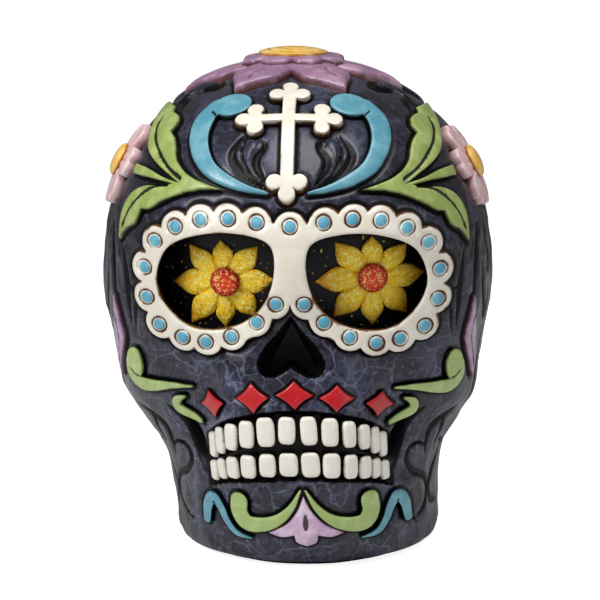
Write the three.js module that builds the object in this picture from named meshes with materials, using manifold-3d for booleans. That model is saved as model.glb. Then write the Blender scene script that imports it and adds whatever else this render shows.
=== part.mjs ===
// Sugar skull: a hollow cast skull closed by a plug and a felt pad, with relief ornaments seated in its skin.
// Millimetres, +Z up, the face looks towards -Y. Left and right are those of someone who faces the skull.

import * as THREE from 'three';
import { mergeVertices } from 'three/addons/utils/BufferGeometryUtils.js';
import Module from 'manifold-3d';

// Driving sizes of the skull
const skullHeight = 122.5;
const skullHalfWidth = 51.1;
const foreheadReach = 54.5;
const backReach = 63;
const muzzleHalfWidth = 27;
const muzzleReach = 58;
const muzzleBlend = 5;
const jawLean = 3.2;
const jawLeanHeight = 60;
const designLevel = 66;

// The drawings were made for these heights, and stretch with the skull
const drawn = { skullHeight: 122.5, above: 56.5, below: 66 };
const tallness = skullHeight / drawn.skullHeight;
const designHeight = designLevel * tallness;
const stretch = { above: (drawn.skullHeight - designLevel) / drawn.above, below: designLevel / drawn.below };

// Fits shared by every piece
const gap = 0.3;
const overrun = 30;

// Casting, its hollow and its base
const hollow = { halfWidth: 38, halfDepth: 40, halfHeight: 50, back: 8, height: 62 };
const neck = { radius: 19.5, back: -5 };
const plug = { flangeRadius: 23, flangeThickness: 2.6, spigotLength: 4 };
const pad = { thickness: 1.2, inset: 3.5 };
const baseHeight = pad.thickness + gap;

// Skin levels from the base to the crown: height, half width, reach of the face, reach of the back
const levelShares = [
  [0, 0.616, 0.844, 0.54],
  [0.02, 0.652, 0.908, 0.579],
  [0.073, 0.671, 0.954, 0.635],
  [0.139, 0.689, 0.945, 0.69],
  [0.204, 0.73, 0.881, 0.754],
  [0.269, 0.834, 0.826, 0.825],
  [0.318, 0.908, 0.853, 0.889],
  [0.376, 0.926, 0.908, 0.937],
  [0.441, 0.957, 0.945, 0.968],
  [0.514, 0.994, 0.963, 0.992],
  [0.58, 1, 0.982, 1],
  [0.653, 0.986, 1, 0.992],
  [0.735, 0.943, 0.982, 0.952],
  [0.8, 0.885, 0.927, 0.889],
  [0.865, 0.783, 0.822, 0.786],
  [0.922, 0.636, 0.675, 0.651],
  [0.963, 0.47, 0.505, 0.492],
  [0.989, 0.274, 0.29, 0.278],
  [1, 0, 0, 0],
];

// Muzzle levels, which swell out of the face: height, half width, reach
const muzzleShares = [
  [-0.065, 0.519, 0.655],
  [0.033, 0.741, 0.862],
  [0.114, 0.889, 0.948],
  [0.196, 0.944, 0.991],
  [0.278, 0.963, 1],
  [0.359, 1, 0.983],
  [0.441, 0.963, 0.931],
  [0.522, 0.815, 0.845],
  [0.653, 0.444, 0.655],
  [0.767, 0.185, 0.259],
  [0.849, 0.019, 0.017],
];

// Soft swellings of the face, each place measured from the middle line and the design height
const swellings = [
  { across: 0, up: 8, halfWide: 9, halfHigh: 14, proud: 2.6 },
  { across: 24, up: 20, halfWide: 16, halfHigh: 6, proud: 1.6 },
  { across: 40, up: -19, halfWide: 10, halfHigh: 6, proud: 2 },
  { across: 0, up: -58, halfWide: 14, halfHigh: 8, proud: 1.2 },
];

// Fullness of the skin's plan outline, where 2 is an ellipse and more is squarer
const faceFullness = 2.25;
const backFullness = 2.2;
const muzzleFullness = 3.1;
const leanFullness = 1.4;

// Facets of the skin
const faceColumns = 24;
const backColumns = 12;
const rowPitch = 10;
const probeAngle = 0.01;
const probeHeight = 0.2;

// Eyes: hole and socket, scalloped rim with its studs, and the flower inside
const eye = { across: 19.1, up: 7.5, halfWidth: 15, halfHeight: 12.5, depth: 7 };
const eyeShares = [
  [-0.94, 0.78],
  [-0.45, 0.99],
  [0.24, 0.95],
  [0.79, 0.64],
  [1, 0],
  [0.87, -0.51],
  [0.45, -0.95],
  [-0.16, -0.97],
  [-0.7, -0.63],
  [-0.99, 0.08],
];
const rim = { width: 4.4, proud: 2, scallopRadius: 4.4, scallopSetBack: 1, middleStudUp: 22.1 };
const rimBridge = [[-6, 14], [6, 14], [4.6, 4], [2.6, 0.6], [0, 2.6], [-2.6, 0.6], [-4.6, 4]];
const stud = { radius: 1.6, proud: 0.6 };
const studPlaces = [
  [8.3, 23],
  [15.5, 23.7],
  [22.5, 23.2],
  [29, 21],
  [34.4, 16.8],
  [37.3, 9.7],
  [36.8, 2],
  [33.5, -4.7],
  [27.4, -7.4],
  [21.4, -8.1],
  [14.8, -6.3],
  [8.4, -2.3],
  [3.5, 2.6],
];
const eyeFlower = { up: 7.4, halfHeight: 11.1, petals: 8, thickness: 1.7 };
const eyeFlowerSide = { left: { across: 17.4, halfWidth: 12 }, right: { across: 20, halfWidth: 13.2 } };
const eyeFlowerHeart = { radius: 3.8, thickness: 1.7 };

// Nose cavity, an upside-down heart
const nose = { up: -1.1, halfWidth: 8.4, height: 15, depth: 10 };
const noseShares = [
  [0, 0],
  [0.36, -0.27],
  [0.78, -0.53],
  [1, -0.78],
  [0.9, -0.94],
  [0.6, -1],
  [0.28, -0.93],
  [0, -0.83],
];

// Mouth, with two arches of teeth and a hollow beside each end
const teeth = { perArch: 12, pitch: 5, width: 4.4, corner: 1, bevel: 0.5, proud: 1, rootDepth: 1.9 };
const upperTeeth = { height: 7.4, endLoss: 1.2, middleUp: -29.1, droop: 6.6 };
const lowerTeeth = { height: 6.4, endLoss: 1.6, middleUp: -37.8, droop: 4.4 };
const mouth = { depth: 2.6, margin: 1 };
const archStep = 0.01;
const cheekHollow = { across: 21.5, up: -45, width: 11.5, height: 18, depth: 4 };
const cheekHollowShares = [
  [[1, 1], [0.62, 0.75], [0.45, 0.5], [0.29, 0.22], [0, 0]],
  [[0, 0], [0.11, 0.28], [0.17, 0.56], [0.35, 0.78], [1, 1]],
];

// Strokes carved in the skin, each drawn for the right side as a ribbon that narrows at both ends
const carving = { halfWidth: 1, endShare: 0.3, depth: 0.9 };
const strokes = [
  { board: 'brow', points: [[12.3, 8.6], [15.1, 3.3], [11.9, -3.5], [6.4, -7.3]] },
  { board: 'brow', points: [[8, 7.6], [8.7, 1.3], [8.3, -4.3], [5.9, -7]] },
  { board: 'side', points: [[-5.2, 13.5], [-7.2, 4.5], [-7.4, -6]] },
  { board: 'side', points: [[5.1, 20.1], [1.6, 10], [0.4, -6]] },
  { board: 'side', points: [[6.2, 9], [8, 0], [12.8, -7], [13.6, 0]] },
  { board: 'side', points: [[18, 24], [19, 11], [17.6, 5], [20, -1], [21, -14]] },
  { board: 'side', points: [[25, 26], [26, 11], [27, -4], [27.5, -18]] },
  { board: 'side', points: [[14, -10], [12, -21], [10.5, -32]] },
  { board: 'jaw', points: [[9.2, -21], [-0.5, -25.6], [-0.2, -33]] },
  { board: 'jaw', points: [[7.5, -30.7], [11.3, -35.7], [3.2, -43.8], [15.3, -49.5]] },
];

// Lip diamonds
const diamond = { halfWidth: 3.9, halfHeight: 3.1, waist: 0.62, proud: 1 };
const diamondCorners = 8;
const diamondRow = { count: 5, pitch: 10.6, up: -20.3, droop: 3.8, endTurn: 14 };

// Budded cross on the forehead
const cross = { up: 13.5, top: 22.8, bottom: -6.2, armReach: 8.4, shaftWidth: 3.6, armWidth: 2.8, proud: 1.8 };
const bud = { radius: 2.15, reach: 3.1 };

// Scrolls: ribbons that swell from a pointed tail, with points across, up and half width as shares
const foreheadScroll = {
  across: 4.9, up: -8.9, width: 20.8, height: 33.6, stroke: 2.7, proud: 1.4,
  shares: [[0, 0, 0.1], [0.27, 0.05, 0.33], [0.53, 0.14, 0.56], [0.73, 0.26, 0.7], [0.84, 0.42, 0.82],
    [0.87, 0.59, 0.93], [0.81, 0.76, 1], [0.66, 0.89, 0.9]],
  head: { acrossShare: 0.48, upShare: 0.87, halfWidth: 5, halfHeight: 4.4 },
};
const cheekScroll = {
  across: -4.5, up: -20.6, width: 21.5, height: 8, stroke: 2.4, proud: 1.3,
  shares: [[0, 0, 0.1], [0.32, -0.05, 0.38], [0.62, -0.15, 0.67], [0.85, -0.15, 0.8], [1, 0.12, 0.9],
    [0.98, 0.45, 1]],
  head: { acrossShare: 0.9, upShare: 0.5, halfWidth: 3.6, halfHeight: 4 },
};
const cheekCurl = {
  across: -1.2, up: -23.6, width: 7, height: 6.2, stroke: 1.6, proud: 1.2,
  shares: [[0, 0, 0.2], [0.43, -0.22, 0.8], [0.5, -0.52, 1], [0.03, -0.79, 1], [-0.51, -1, 0.8]],
};
const chinGreenScroll = {
  across: 0.6, up: -44.4, width: 16, height: 9.5, stroke: 2.2, proud: 1.3,
  shares: [[0, 0, 0.1], [0.17, -0.5, 0.4], [0.39, -0.84, 0.64], [0.67, -1, 0.86], [0.9, -0.97, 1],
    [1, -0.69, 1], [0.99, -0.38, 1]],
};
const chinBlueScroll = {
  across: 13.8, up: -58, width: 11.9, height: 9.1, stroke: 1.5, proud: 1.2,
  shares: [[0, 0, 0.13], [0.34, 0.09, 0.6], [0.54, 0.41, 0.73], [0.66, 0.77, 0.87], [0.81, 1, 1],
    [0.94, 0.77, 1], [1, 0.27, 0.73]],
};

// Leaves and petals: outlines of smooth stretches that meet in points, as shares of a width and a height
const leafSpray = { across: -18.2, up: 3.6, width: 43, height: 40.5, proud: 1.4 };
const upperLeafShares = [
  [[0, 0], [0.15, -0.03], [0.27, -0.01], [0.4, 0.05], [0.56, 0.13], [0.7, 0.23], [0.79, 0.35], [0.89, 0.48],
    [1, 0.64]],
  [[1, 0.64], [0.87, 0.63], [0.74, 0.6]],
  [[0.74, 0.6], [0.67, 0.56], [0.64, 0.49], [0.65, 0.44]],
  [[0.65, 0.44], [0.55, 0.4], [0.51, 0.33], [0.45, 0.22], [0.36, 0.12], [0.24, 0.05], [0.12, 0.02], [0, 0]],
];
const middleLeafShares = [
  [[0.26, -0.01], [0.42, 0.02], [0.57, 0.07], [0.75, 0.12]],
  [[0.75, 0.12], [0.75, 0.05]],
  [[0.75, 0.05], [0.59, 0.02], [0.42, -0.005], [0.26, -0.03]],
];
const lowerLeafShares = [
  [[0.07, 0], [0.24, 0], [0.4, -0.035], [0.57, -0.045], [0.69, -0.09], [0.76, -0.19], [0.76, -0.36]],
  [[0.76, -0.36], [0.67, -0.3], [0.58, -0.27], [0.54, -0.19]],
  [[0.54, -0.19], [0.48, -0.19], [0.36, -0.13], [0.25, -0.075], [0.13, -0.03], [0.07, 0]],
];
const spear = { across: -3, up: -22, width: 8, height: 22.5, proud: 1.2 };
const spearShares = [
  [[0.3, 1], [0.1, 0.75], [0, 0.5], [0.3, 0.3], [1, 0]],
  [[1, 0], [0.95, 0.25], [0.85, 0.5], [0.5, 0.75], [0.3, 1]],
];
const lotus = { up: -46, halfWidth: 9.7, height: 13.4, proud: 1.3 };
const lotusShares = [
  [[0, 0], [0.2, -0.31], [0.52, -0.56], [1, -0.74]],
  [[1, -0.74], [0.64, -0.82], [0.31, -0.78]],
  [[0.31, -0.78], [0.26, -0.92], [0, -1]],
];

// Flowers, whose petal outlines give the turn through one petal and the reach from the flower's middle
const crownFlower = { halfWidth: 28, halfHeight: 27, petals: 6, proud: 2.4 };
const crownPetalShares = [[0, 0.42], [0.24, 0.69], [0.38, 0.88], [0.5, 1], [0.62, 0.88], [0.76, 0.69]];
const crownHeart = { halfWidth: 14, halfHeight: 12.5, petals: 8, proud: 4 };
const crownHeartShares = [[0, 0.82], [0.15, 0.94], [0.5, 1], [0.85, 0.94]];
const crownCentre = { radius: 9, proud: 5.4 };
const templeFlower = { across: 9.5, up: 7.5, halfWidth: 11.4, halfHeight: 11.4, petals: 6, proud: 2.2 };
const templePetalShares = [[0, 0.66], [0.15, 0.9], [0.38, 1], [0.5, 0.94], [0.62, 1], [0.85, 0.9]];
const templeCentre = { radius: 4.5, proud: 3.8 };
const eyePetalShares = [[0, 1], [0.25, 0.8], [0.5, 0.5], [0.75, 0.8]];
const domeShares = [[0, 1], [0.55, 0.85], [0.85, 0.5], [1, 0]];

// Smoothness of outlines and discs
const roundSteps = 2;
const leafSteps = 1;
const turnedSides = 24;
const roomSides = 20;
const roomRings = 12;
const discSides = 12;
const scallopSides = 10;
const lobeSides = 8;
const studSides = 6;

const wasm = await Module();
wasm.setup();

// Skin of the skull, as a distance from the upright middle axis

function alongShares(table, column, heightShare) {
  const last = table.length - 1;
  const square = (row) => table[row][column] ** 2;
  const slope = (row) => {
    const below = Math.max(row - 1, 0);
    const above = Math.min(row + 1, last);
    return (square(above) - square(below)) / (table[above][0] - table[below][0]);
  };
  const share = THREE.MathUtils.clamp(heightShare, table[0][0], table[last][0]);
  const next = Math.min(Math.max(table.findIndex((row) => row[0] > share), 1), last);
  const row = share >= table[last][0] ? last - 1 : next - 1;
  const span = table[row + 1][0] - table[row][0];
  const t = (share - table[row][0]) / span;
  const start = (2 * t ** 3 - 3 * t ** 2 + 1) * square(row) + (t ** 3 - 2 * t ** 2 + t) * span * slope(row);
  const end = (3 * t ** 2 - 2 * t ** 3) * square(row + 1) + (t ** 3 - t ** 2) * span * slope(row + 1);
  return Math.sqrt(Math.max(start + end, 0));
}

function planRadius(angle, halfWidth, reach, fullness) {
  const side = Math.abs(Math.sin(angle)) / Math.max(halfWidth, Number.EPSILON);
  const front = Math.abs(Math.cos(angle)) / Math.max(reach, Number.EPSILON);
  return (side ** fullness + front ** fullness) ** (-1 / fullness);
}

function blend(a, b, width) {
  const overlap = Math.max(width - Math.abs(a - b), 0);
  return Math.max(a, b) + overlap ** 2 / (4 * width);
}

function stretched(up) {
  return up * (up > 0 ? stretch.above : stretch.below);
}

function swell(radius, angle, height) {
  const across = radius * Math.sin(angle);
  let grown = radius;
  for (const bump of swellings) {
    const sides = bump.across === 0 ? [1] : [1, -1];
    for (const side of sides) {
      const u = (across - side * bump.across) / bump.halfWide;
      const v = ((height - designHeight) / tallness - stretched(bump.up)) / bump.halfHigh;
      grown += bump.proud * Math.exp(-(u ** 2) - v ** 2) * Math.cos(angle);
    }
  }
  return grown;
}

function skinRadius(angle, height) {
  const share = height / skullHeight;
  const halfWidth = skullHalfWidth * alongShares(levelShares, 1, share);
  if (Math.cos(angle) <= 0) {
    return planRadius(angle, halfWidth, backReach * alongShares(levelShares, 3, share), backFullness);
  }
  const face = planRadius(angle, halfWidth, foreheadReach * alongShares(levelShares, 2, share), faceFullness);
  const muzzleWidth = muzzleHalfWidth * alongShares(muzzleShares, 1, share);
  const reach = muzzleReach * alongShares(muzzleShares, 2, share);
  const muzzle = planRadius(angle, muzzleWidth, reach, muzzleFullness);
  return swell(blend(face, muzzle, muzzleBlend), angle, height);
}

function skinPoint(angle, height) {
  const radius = skinRadius(angle, height);
  return new THREE.Vector3(radius * Math.sin(angle), -radius * Math.cos(angle), height);
}

function skinNormal(angle, height) {
  const low = Math.max(height - probeHeight, 0);
  const high = Math.min(height + probeHeight, skullHeight - probeHeight);
  const around = skinPoint(angle + probeAngle, height).sub(skinPoint(angle - probeAngle, height));
  const upward = skinPoint(angle, high).sub(skinPoint(angle, low));
  return around.cross(upward).normalize();
}

// Solids

function solidFrom(geometry) {
  const bare = geometry.clone();
  bare.deleteAttribute('normal');
  bare.deleteAttribute('uv');
  const merged = mergeVertices(bare);
  const vertProperties = merged.attributes.position.array;
  return new wasm.Manifold(new wasm.Mesh({ numProp: 3, vertProperties, triVerts: merged.index.array }));
}

function unite(solids) {
  return solids.reduce((whole, solid) => whole.add(solid));
}

function columnAngles() {
  const face = Array.from({ length: faceColumns }, (_, i) => (i / faceColumns - 0.5) * Math.PI);
  const back = Array.from({ length: backColumns }, (_, i) => (i / backColumns + 0.5) * Math.PI);
  return [...face, ...back];
}

function rowHeights() {
  const levels = levelShares.map((level) => Math.max(level[0] * skullHeight, baseHeight));
  const rows = [];
  for (let i = 0; i < levels.length - 1; i += 1) {
    const parts = Math.ceil((levels[i + 1] - levels[i]) / rowPitch);
    for (let part = 0; part < parts; part += 1) {
      rows.push(THREE.MathUtils.lerp(levels[i], levels[i + 1], part / parts));
    }
  }
  return rows;
}

function skullForm(lift) {
  const angles = columnAngles();
  const rows = rowHeights();
  const count = angles.length;
  const points = rows.flatMap((height) => angles.map((angle) => (
    skinPoint(angle, height).addScaledVector(skinNormal(angle, height), lift))));
  const crown = points.push(new THREE.Vector3(0, 0, skullHeight + lift)) - 1;
  const foot = points.push(new THREE.Vector3(0, 0, baseHeight)) - 1;
  points.slice(0, count).forEach((point) => point.setZ(baseHeight));
  const faces = [];
  const topRow = (rows.length - 1) * count;
  for (let i = 0; i < count; i += 1) {
    const j = (i + 1) % count;
    for (let start = 0; start < topRow; start += count) {
      faces.push(start + i, start + j, start + count + j, start + i, start + count + j, start + count + i);
    }
    faces.push(topRow + i, topRow + j, crown, foot, j, i);
  }
  const form = new THREE.BufferGeometry().setFromPoints(points);
  form.setIndex(faces);
  return solidFrom(form);
}

const forms = new Map();

function skin(lift) {
  if (!forms.has(lift)) {
    forms.set(lift, skullForm(lift));
  }
  return forms.get(lift);
}

// A design plane passes through the axis at the design height and looks along its azimuth and elevation

function plane(azimuth, elevation) {
  const turn = THREE.MathUtils.degToRad(azimuth);
  const tilt = THREE.MathUtils.degToRad(elevation);
  const across = new THREE.Vector3(Math.cos(turn), Math.sin(turn), 0);
  const out = new THREE.Vector3(
    Math.sin(turn) * Math.cos(tilt), -Math.cos(turn) * Math.cos(tilt), Math.sin(tilt));
  const up = new THREE.Vector3().crossVectors(out, across);
  const board = new THREE.Matrix4().makeBasis(across, up, out);
  return board.premultiply(new THREE.Matrix4().makeScale(1, 1, tallness)).setPosition(0, 0, designHeight);
}

const planes = {
  face: () => plane(0, 0),
  brow: () => plane(0, 38),
  crown: () => plane(0, 90),
  cheek: (side) => plane(side * 35, 0),
  side: (side) => plane(side * 60, 0),
  leaf: (side) => plane(side * 40, 28),
  temple: (side) => plane(side * 66, 28),
  jaw: (side) => plane(side * 50, -10),
};

function prism(points, frame, depth = skullHeight + overrun) {
  const shape = new THREE.Shape(points);
  const geometry = new THREE.ExtrudeGeometry(shape, { depth, bevelEnabled: false });
  return solidFrom(geometry.applyMatrix4(frame));
}

function drawnPrism(points, frame) {
  return prism(points.map((point) => new THREE.Vector2(point.x, stretched(point.y))), frame);
}

function relief(cutter, proud, seat = 0) {
  return skin(proud).subtract(skin(seat + gap)).intersect(cutter);
}

// Outlines

function mirrored(points, side) {
  return points.map((point) => new THREE.Vector2(side * point.x, point.y));
}

function smooth(points, closed = false, steps = roundSteps) {
  const curve = new THREE.CatmullRomCurve3(
    points.map(([across, up]) => new THREE.Vector3(across, up, 0)), closed, 'centripetal');
  const spans = closed ? points.length : points.length - 1;
  const samples = curve.getPoints(spans * steps).map((point) => new THREE.Vector2(point.x, point.y));
  return samples.slice(0, -1);
}

function sized(stretches, piece) {
  return stretches.map((stretch) => stretch.map(([across, up]) => [
    piece.across + across * piece.width, piece.up + up * piece.height]));
}

function stretchOutline(stretches) {
  return stretches.flatMap((stretch) => smooth(stretch, false, leafSteps));
}

function ring(across, up, halfWidth, halfHeight, sides) {
  return Array.from({ length: sides }, (_, i) => {
    const angle = ((i + 0.5) / sides) * 2 * Math.PI;
    return new THREE.Vector2(across + halfWidth * Math.cos(angle), up + halfHeight * Math.sin(angle));
  });
}

function ribbonOutline(scroll) {
  const centre = new THREE.CatmullRomCurve3(scroll.shares.map(([across, up, width]) => new THREE.Vector3(
    scroll.across + across * scroll.width, scroll.up + up * scroll.height, width * scroll.stroke)),
  false, 'centripetal');
  const count = (scroll.shares.length - 1) * roundSteps;
  const spots = centre.getPoints(count);
  const sides = [1, -1].map((side) => spots.map((spot, i) => {
    const along = new THREE.Vector3().subVectors(spots[Math.min(i + 1, count)], spots[Math.max(i - 1, 0)]);
    const outward = new THREE.Vector2(along.y, -along.x).normalize().multiplyScalar(side * spot.z);
    return new THREE.Vector2(spot.x, spot.y).add(outward);
  }));
  const end = spots[count];
  const before = spots[count - 1];
  const onward = new THREE.Vector2(end.x - before.x, end.y - before.y).setLength(end.z);
  const tip = new THREE.Vector2(end.x, end.y).add(onward);
  return [...sides[0], tip, ...sides[1].reverse()];
}

function petalOutline(flower, shares, growth = 0) {
  const outline = [];
  for (let petal = 0; petal < flower.petals; petal += 1) {
    for (const [turnShare, reachShare] of shares) {
      const angle = ((petal + turnShare) / flower.petals) * 2 * Math.PI - Math.PI / 2;
      outline.push(new THREE.Vector2(
        (reachShare * flower.halfWidth + growth) * Math.cos(angle),
        (reachShare * flower.halfHeight + growth) * Math.sin(angle)));
    }
  }
  return outline;
}

function moved(points, across, up) {
  return points.map((point) => new THREE.Vector2(point.x + across, point.y + up));
}

// Casting and its base

function cavity() {
  const room = new THREE.SphereGeometry(1, roomSides, roomRings);
  room.scale(hollow.halfWidth, hollow.halfDepth, hollow.halfHeight);
  room.translate(0, hollow.back, hollow.height);
  const bore = (radius, length) => {
    const turned = new THREE.CylinderGeometry(radius, radius, length, turnedSides);
    return turned.rotateX(Math.PI / 2).translate(0, neck.back, length / 2);
  };
  const throat = bore(neck.radius, hollow.height);
  const seat = bore(plug.flangeRadius + gap, baseHeight + plug.flangeThickness + gap);
  return unite([room, throat, seat].map(solidFrom));
}

function eyeHole(side, growth = 0) {
  const points = eyeShares.map(([across, up]) => [
    eye.across + across * (eye.halfWidth + growth), eye.up + up * (eye.halfHeight + growth)]);
  return mirrored(smooth(points, true), side);
}

function sunk(cutter, depth) {
  return cutter.subtract(skin(-depth));
}

function nosePocket() {
  const half = noseShares.map(([across, up]) => [across * nose.halfWidth, nose.up + up * nose.height]);
  const right = smooth(half);
  const left = mirrored(right.slice(1), -1).reverse();
  const notch = new THREE.Vector2(...half.at(-1));
  const floor = skinPoint(0, designHeight + tallness * stretched(nose.up - nose.height / 2)).y + nose.depth;
  const frame = new THREE.Matrix4().makeTranslation(0, floor, 0).multiply(planes.face());
  return drawnPrism([...right, notch, ...left], frame);
}

function archAngle(distance, height) {
  let angle = 0;
  let walked = 0;
  let here = skinPoint(angle, height);
  while (walked < Math.abs(distance)) {
    angle += archStep;
    const next = skinPoint(angle, height);
    walked += next.distanceTo(here);
    here = next;
  }
  return Math.sign(distance) * angle;
}

function archEnd() {
  return (teeth.perArch / 2) * teeth.pitch;
}

function archHeight(row, distance) {
  return designHeight + tallness * stretched(row.middleUp - row.droop * (distance / archEnd()) ** 2);
}

function toothHeight(row, distance) {
  return tallness * stretch.below * (row.height - row.endLoss * (distance / archEnd()) ** 2);
}

function mouthPocket() {
  const lipLine = (row, side) => {
    const count = teeth.perArch;
    return Array.from({ length: count + 1 }, (_, i) => {
      const distance = (i / count - 0.5) * 2 * (archEnd() + mouth.margin);
      const height = archHeight(row, distance);
      const spot = skinPoint(archAngle(distance, height), height);
      const reach = toothHeight(row, distance) / 2 + mouth.margin;
      return new THREE.Vector2(spot.x, (spot.z + side * reach - designHeight) / tallness);
    });
  };
  return prism([...lipLine(lowerTeeth, -1), ...lipLine(upperTeeth, 1).reverse()], planes.face());
}

function cheekHollowCutter(side) {
  const outline = mirrored(stretchOutline(sized(cheekHollowShares, cheekHollow)), side);
  return drawnPrism(outline, planes.face());
}

function carvedStroke({ board, points }, side) {
  const last = points.length - 1;
  const shares = points.map(([across, up], i) => [across, up, i === 0 || i === last ? carving.endShare : 1]);
  const outline = ribbonOutline({ across: 0, up: 0, width: 1, height: 1, stroke: carving.halfWidth, shares });
  return sunk(drawnPrism(mirrored(outline, side), planes[board](side)), carving.depth);
}

function skullCasting() {
  const sockets = [-1, 1].map((side) => sunk(drawnPrism(eyeHole(side), planes.face()), eye.depth));
  const hollows = [-1, 1].map((side) => sunk(cheekHollowCutter(side), cheekHollow.depth));
  const carved = strokes.flatMap((stroke) => [-1, 1].map((side) => carvedStroke(stroke, side)));
  const cuts = [...sockets, ...hollows, ...carved, sunk(mouthPocket(), mouth.depth), nosePocket(), cavity()];
  return skin(0).subtract(unite(cuts));
}

function basePlug() {
  const low = baseHeight;
  const shoulder = low + plug.flangeThickness;
  const top = shoulder + plug.spigotLength;
  const spigotRadius = neck.radius - gap;
  const profile = [[0, low], [plug.flangeRadius, low], [plug.flangeRadius, shoulder], [spigotRadius, shoulder],
    [spigotRadius, top], [0, top]].map(([radius, height]) => new THREE.Vector2(radius, height));
  const turned = new THREE.LatheGeometry(profile, turnedSides);
  turned.rotateX(Math.PI / 2);
  turned.translate(0, neck.back, 0);
  return solidFrom(turned);
}

function feltPad() {
  const outline = columnAngles().map((angle) => {
    const radius = skinRadius(angle, baseHeight) - pad.inset;
    return new THREE.Vector2(radius * Math.sin(angle), -radius * Math.cos(angle));
  });
  return prism(outline, new THREE.Matrix4(), pad.thickness);
}

// Eyes

function eyeRim() {
  const places = studPlaces.map(([across, up]) => new THREE.Vector2(across, up));
  const middle = new THREE.Vector2(0, rim.middleStudUp);
  const studs = [middle, ...places, ...mirrored(places, -1)];
  const centres = [1, -1].map((side) => new THREE.Vector2(side * eye.across, eye.up));
  const disc = (place, radius, sides) => drawnPrism(
    ring(place.x, place.y, radius, radius, sides), planes.face());
  const scallops = studs.map((place) => {
    const centre = place === middle ? new THREE.Vector2(0, eye.up) : centres[place.x > 0 ? 0 : 1];
    const inward = centre.clone().sub(place).setLength(rim.scallopSetBack);
    return disc(place.clone().add(inward), rim.scallopRadius, scallopSides);
  });
  const bands = [1, -1].map((side) => drawnPrism(eyeHole(side, rim.width), planes.face()));
  const holes = [1, -1].map((side) => drawnPrism(eyeHole(side), planes.face()));
  const bridge = drawnPrism(rimBridge.map(([across, up]) => new THREE.Vector2(across, up)), planes.face());
  const plate = relief(unite([...scallops, ...bands, bridge]), rim.proud);
  const pegs = unite(studs.map((place) => disc(place, stud.radius, studSides)));
  const raised = skin(rim.proud + stud.proud).subtract(skin(rim.proud / 2)).intersect(pegs);
  return plate.add(raised).subtract(unite(holes));
}

function eyeFlowerPetals(side) {
  const { across, halfWidth } = side < 0 ? eyeFlowerSide.left : eyeFlowerSide.right;
  const points = petalOutline({ ...eyeFlower, halfWidth }, eyePetalShares);
  const cutter = drawnPrism(mirrored(moved(points, across, eyeFlower.up), side), planes.face());
  return relief(cutter, eyeFlower.thickness - eye.depth, -eye.depth);
}

function eyeFlowerCentre(side) {
  const { across } = side < 0 ? eyeFlowerSide.left : eyeFlowerSide.right;
  const seat = eyeFlower.thickness - eye.depth;
  const { radius, thickness } = eyeFlowerHeart;
  const disc = ring(side * across, eyeFlower.up, radius, radius, discSides);
  return relief(drawnPrism(disc, planes.face()), seat + gap + thickness, seat);
}

// Teeth and diamonds are blocks that stand square to the skin where they sit

function seatFrame(angle, height) {
  const out = skinNormal(angle, height);
  const across = new THREE.Vector3(0, 0, 1).cross(out).normalize();
  const up = new THREE.Vector3().crossVectors(out, across);
  return new THREE.Matrix4().makeBasis(across, up, out).setPosition(skinPoint(angle, height));
}

function block(points, frame, back, front) {
  const bevel = teeth.bevel;
  const geometry = new THREE.ExtrudeGeometry(new THREE.Shape(points), {
    depth: front - back - 2 * bevel,
    bevelThickness: bevel,
    bevelSize: bevel,
    bevelOffset: -bevel,
    bevelSegments: 1,
  });
  geometry.translate(0, 0, back + bevel);
  return solidFrom(geometry.applyMatrix4(frame));
}

function tooth(row, index) {
  const distance = (index - (teeth.perArch - 1) / 2) * teeth.pitch;
  const height = archHeight(row, distance);
  const side = teeth.width / 2;
  const end = toothHeight(row, distance) / 2;
  const corner = teeth.corner;
  const corners = [[side, end - corner], [side - corner, end], [corner - side, end], [-side, end - corner],
    [-side, corner - end], [corner - side, -end], [side - corner, -end], [side, corner - end]];
  const points = corners.map(([across, up]) => new THREE.Vector2(across, up));
  return block(points, seatFrame(archAngle(distance, height), height), -teeth.rootDepth, teeth.proud);
}

function lipDiamond(index) {
  const fromMiddle = index - (diamondRow.count - 1) / 2;
  const endShare = fromMiddle / ((diamondRow.count - 1) / 2);
  const across = fromMiddle * diamondRow.pitch;
  const up = diamondRow.up - diamondRow.droop * endShare ** 2;
  const turn = THREE.MathUtils.degToRad(-diamondRow.endTurn * Math.sign(endShare) * endShare ** 2);
  const points = Array.from({ length: diamondCorners }, (_, i) => {
    const angle = (i / diamondCorners) * 2 * Math.PI;
    const reach = i % 2 === 0 ? 1 : diamond.waist;
    const right = reach * diamond.halfWidth * Math.cos(angle);
    const high = reach * diamond.halfHeight * Math.sin(angle);
    return new THREE.Vector2(right, high).rotateAround(new THREE.Vector2(), turn);
  });
  return relief(drawnPrism(moved(points, across, up), planes.face()), diamond.proud);
}

// Forehead

function budLobes(across, up, away) {
  return [-1, 0, 1].map((quarter) => {
    const turn = (quarter * Math.PI) / 2;
    const lobe = away.clone().rotateAround(new THREE.Vector2(), turn).multiplyScalar(bud.reach);
    return ring(across + lobe.x, up + lobe.y, bud.radius, bud.radius, lobeSides);
  });
}

function bar(left, right, low, high) {
  const corners = [[left, low], [right, low], [right, high], [left, high]];
  return corners.map(([across, up]) => new THREE.Vector2(across, up));
}

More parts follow.
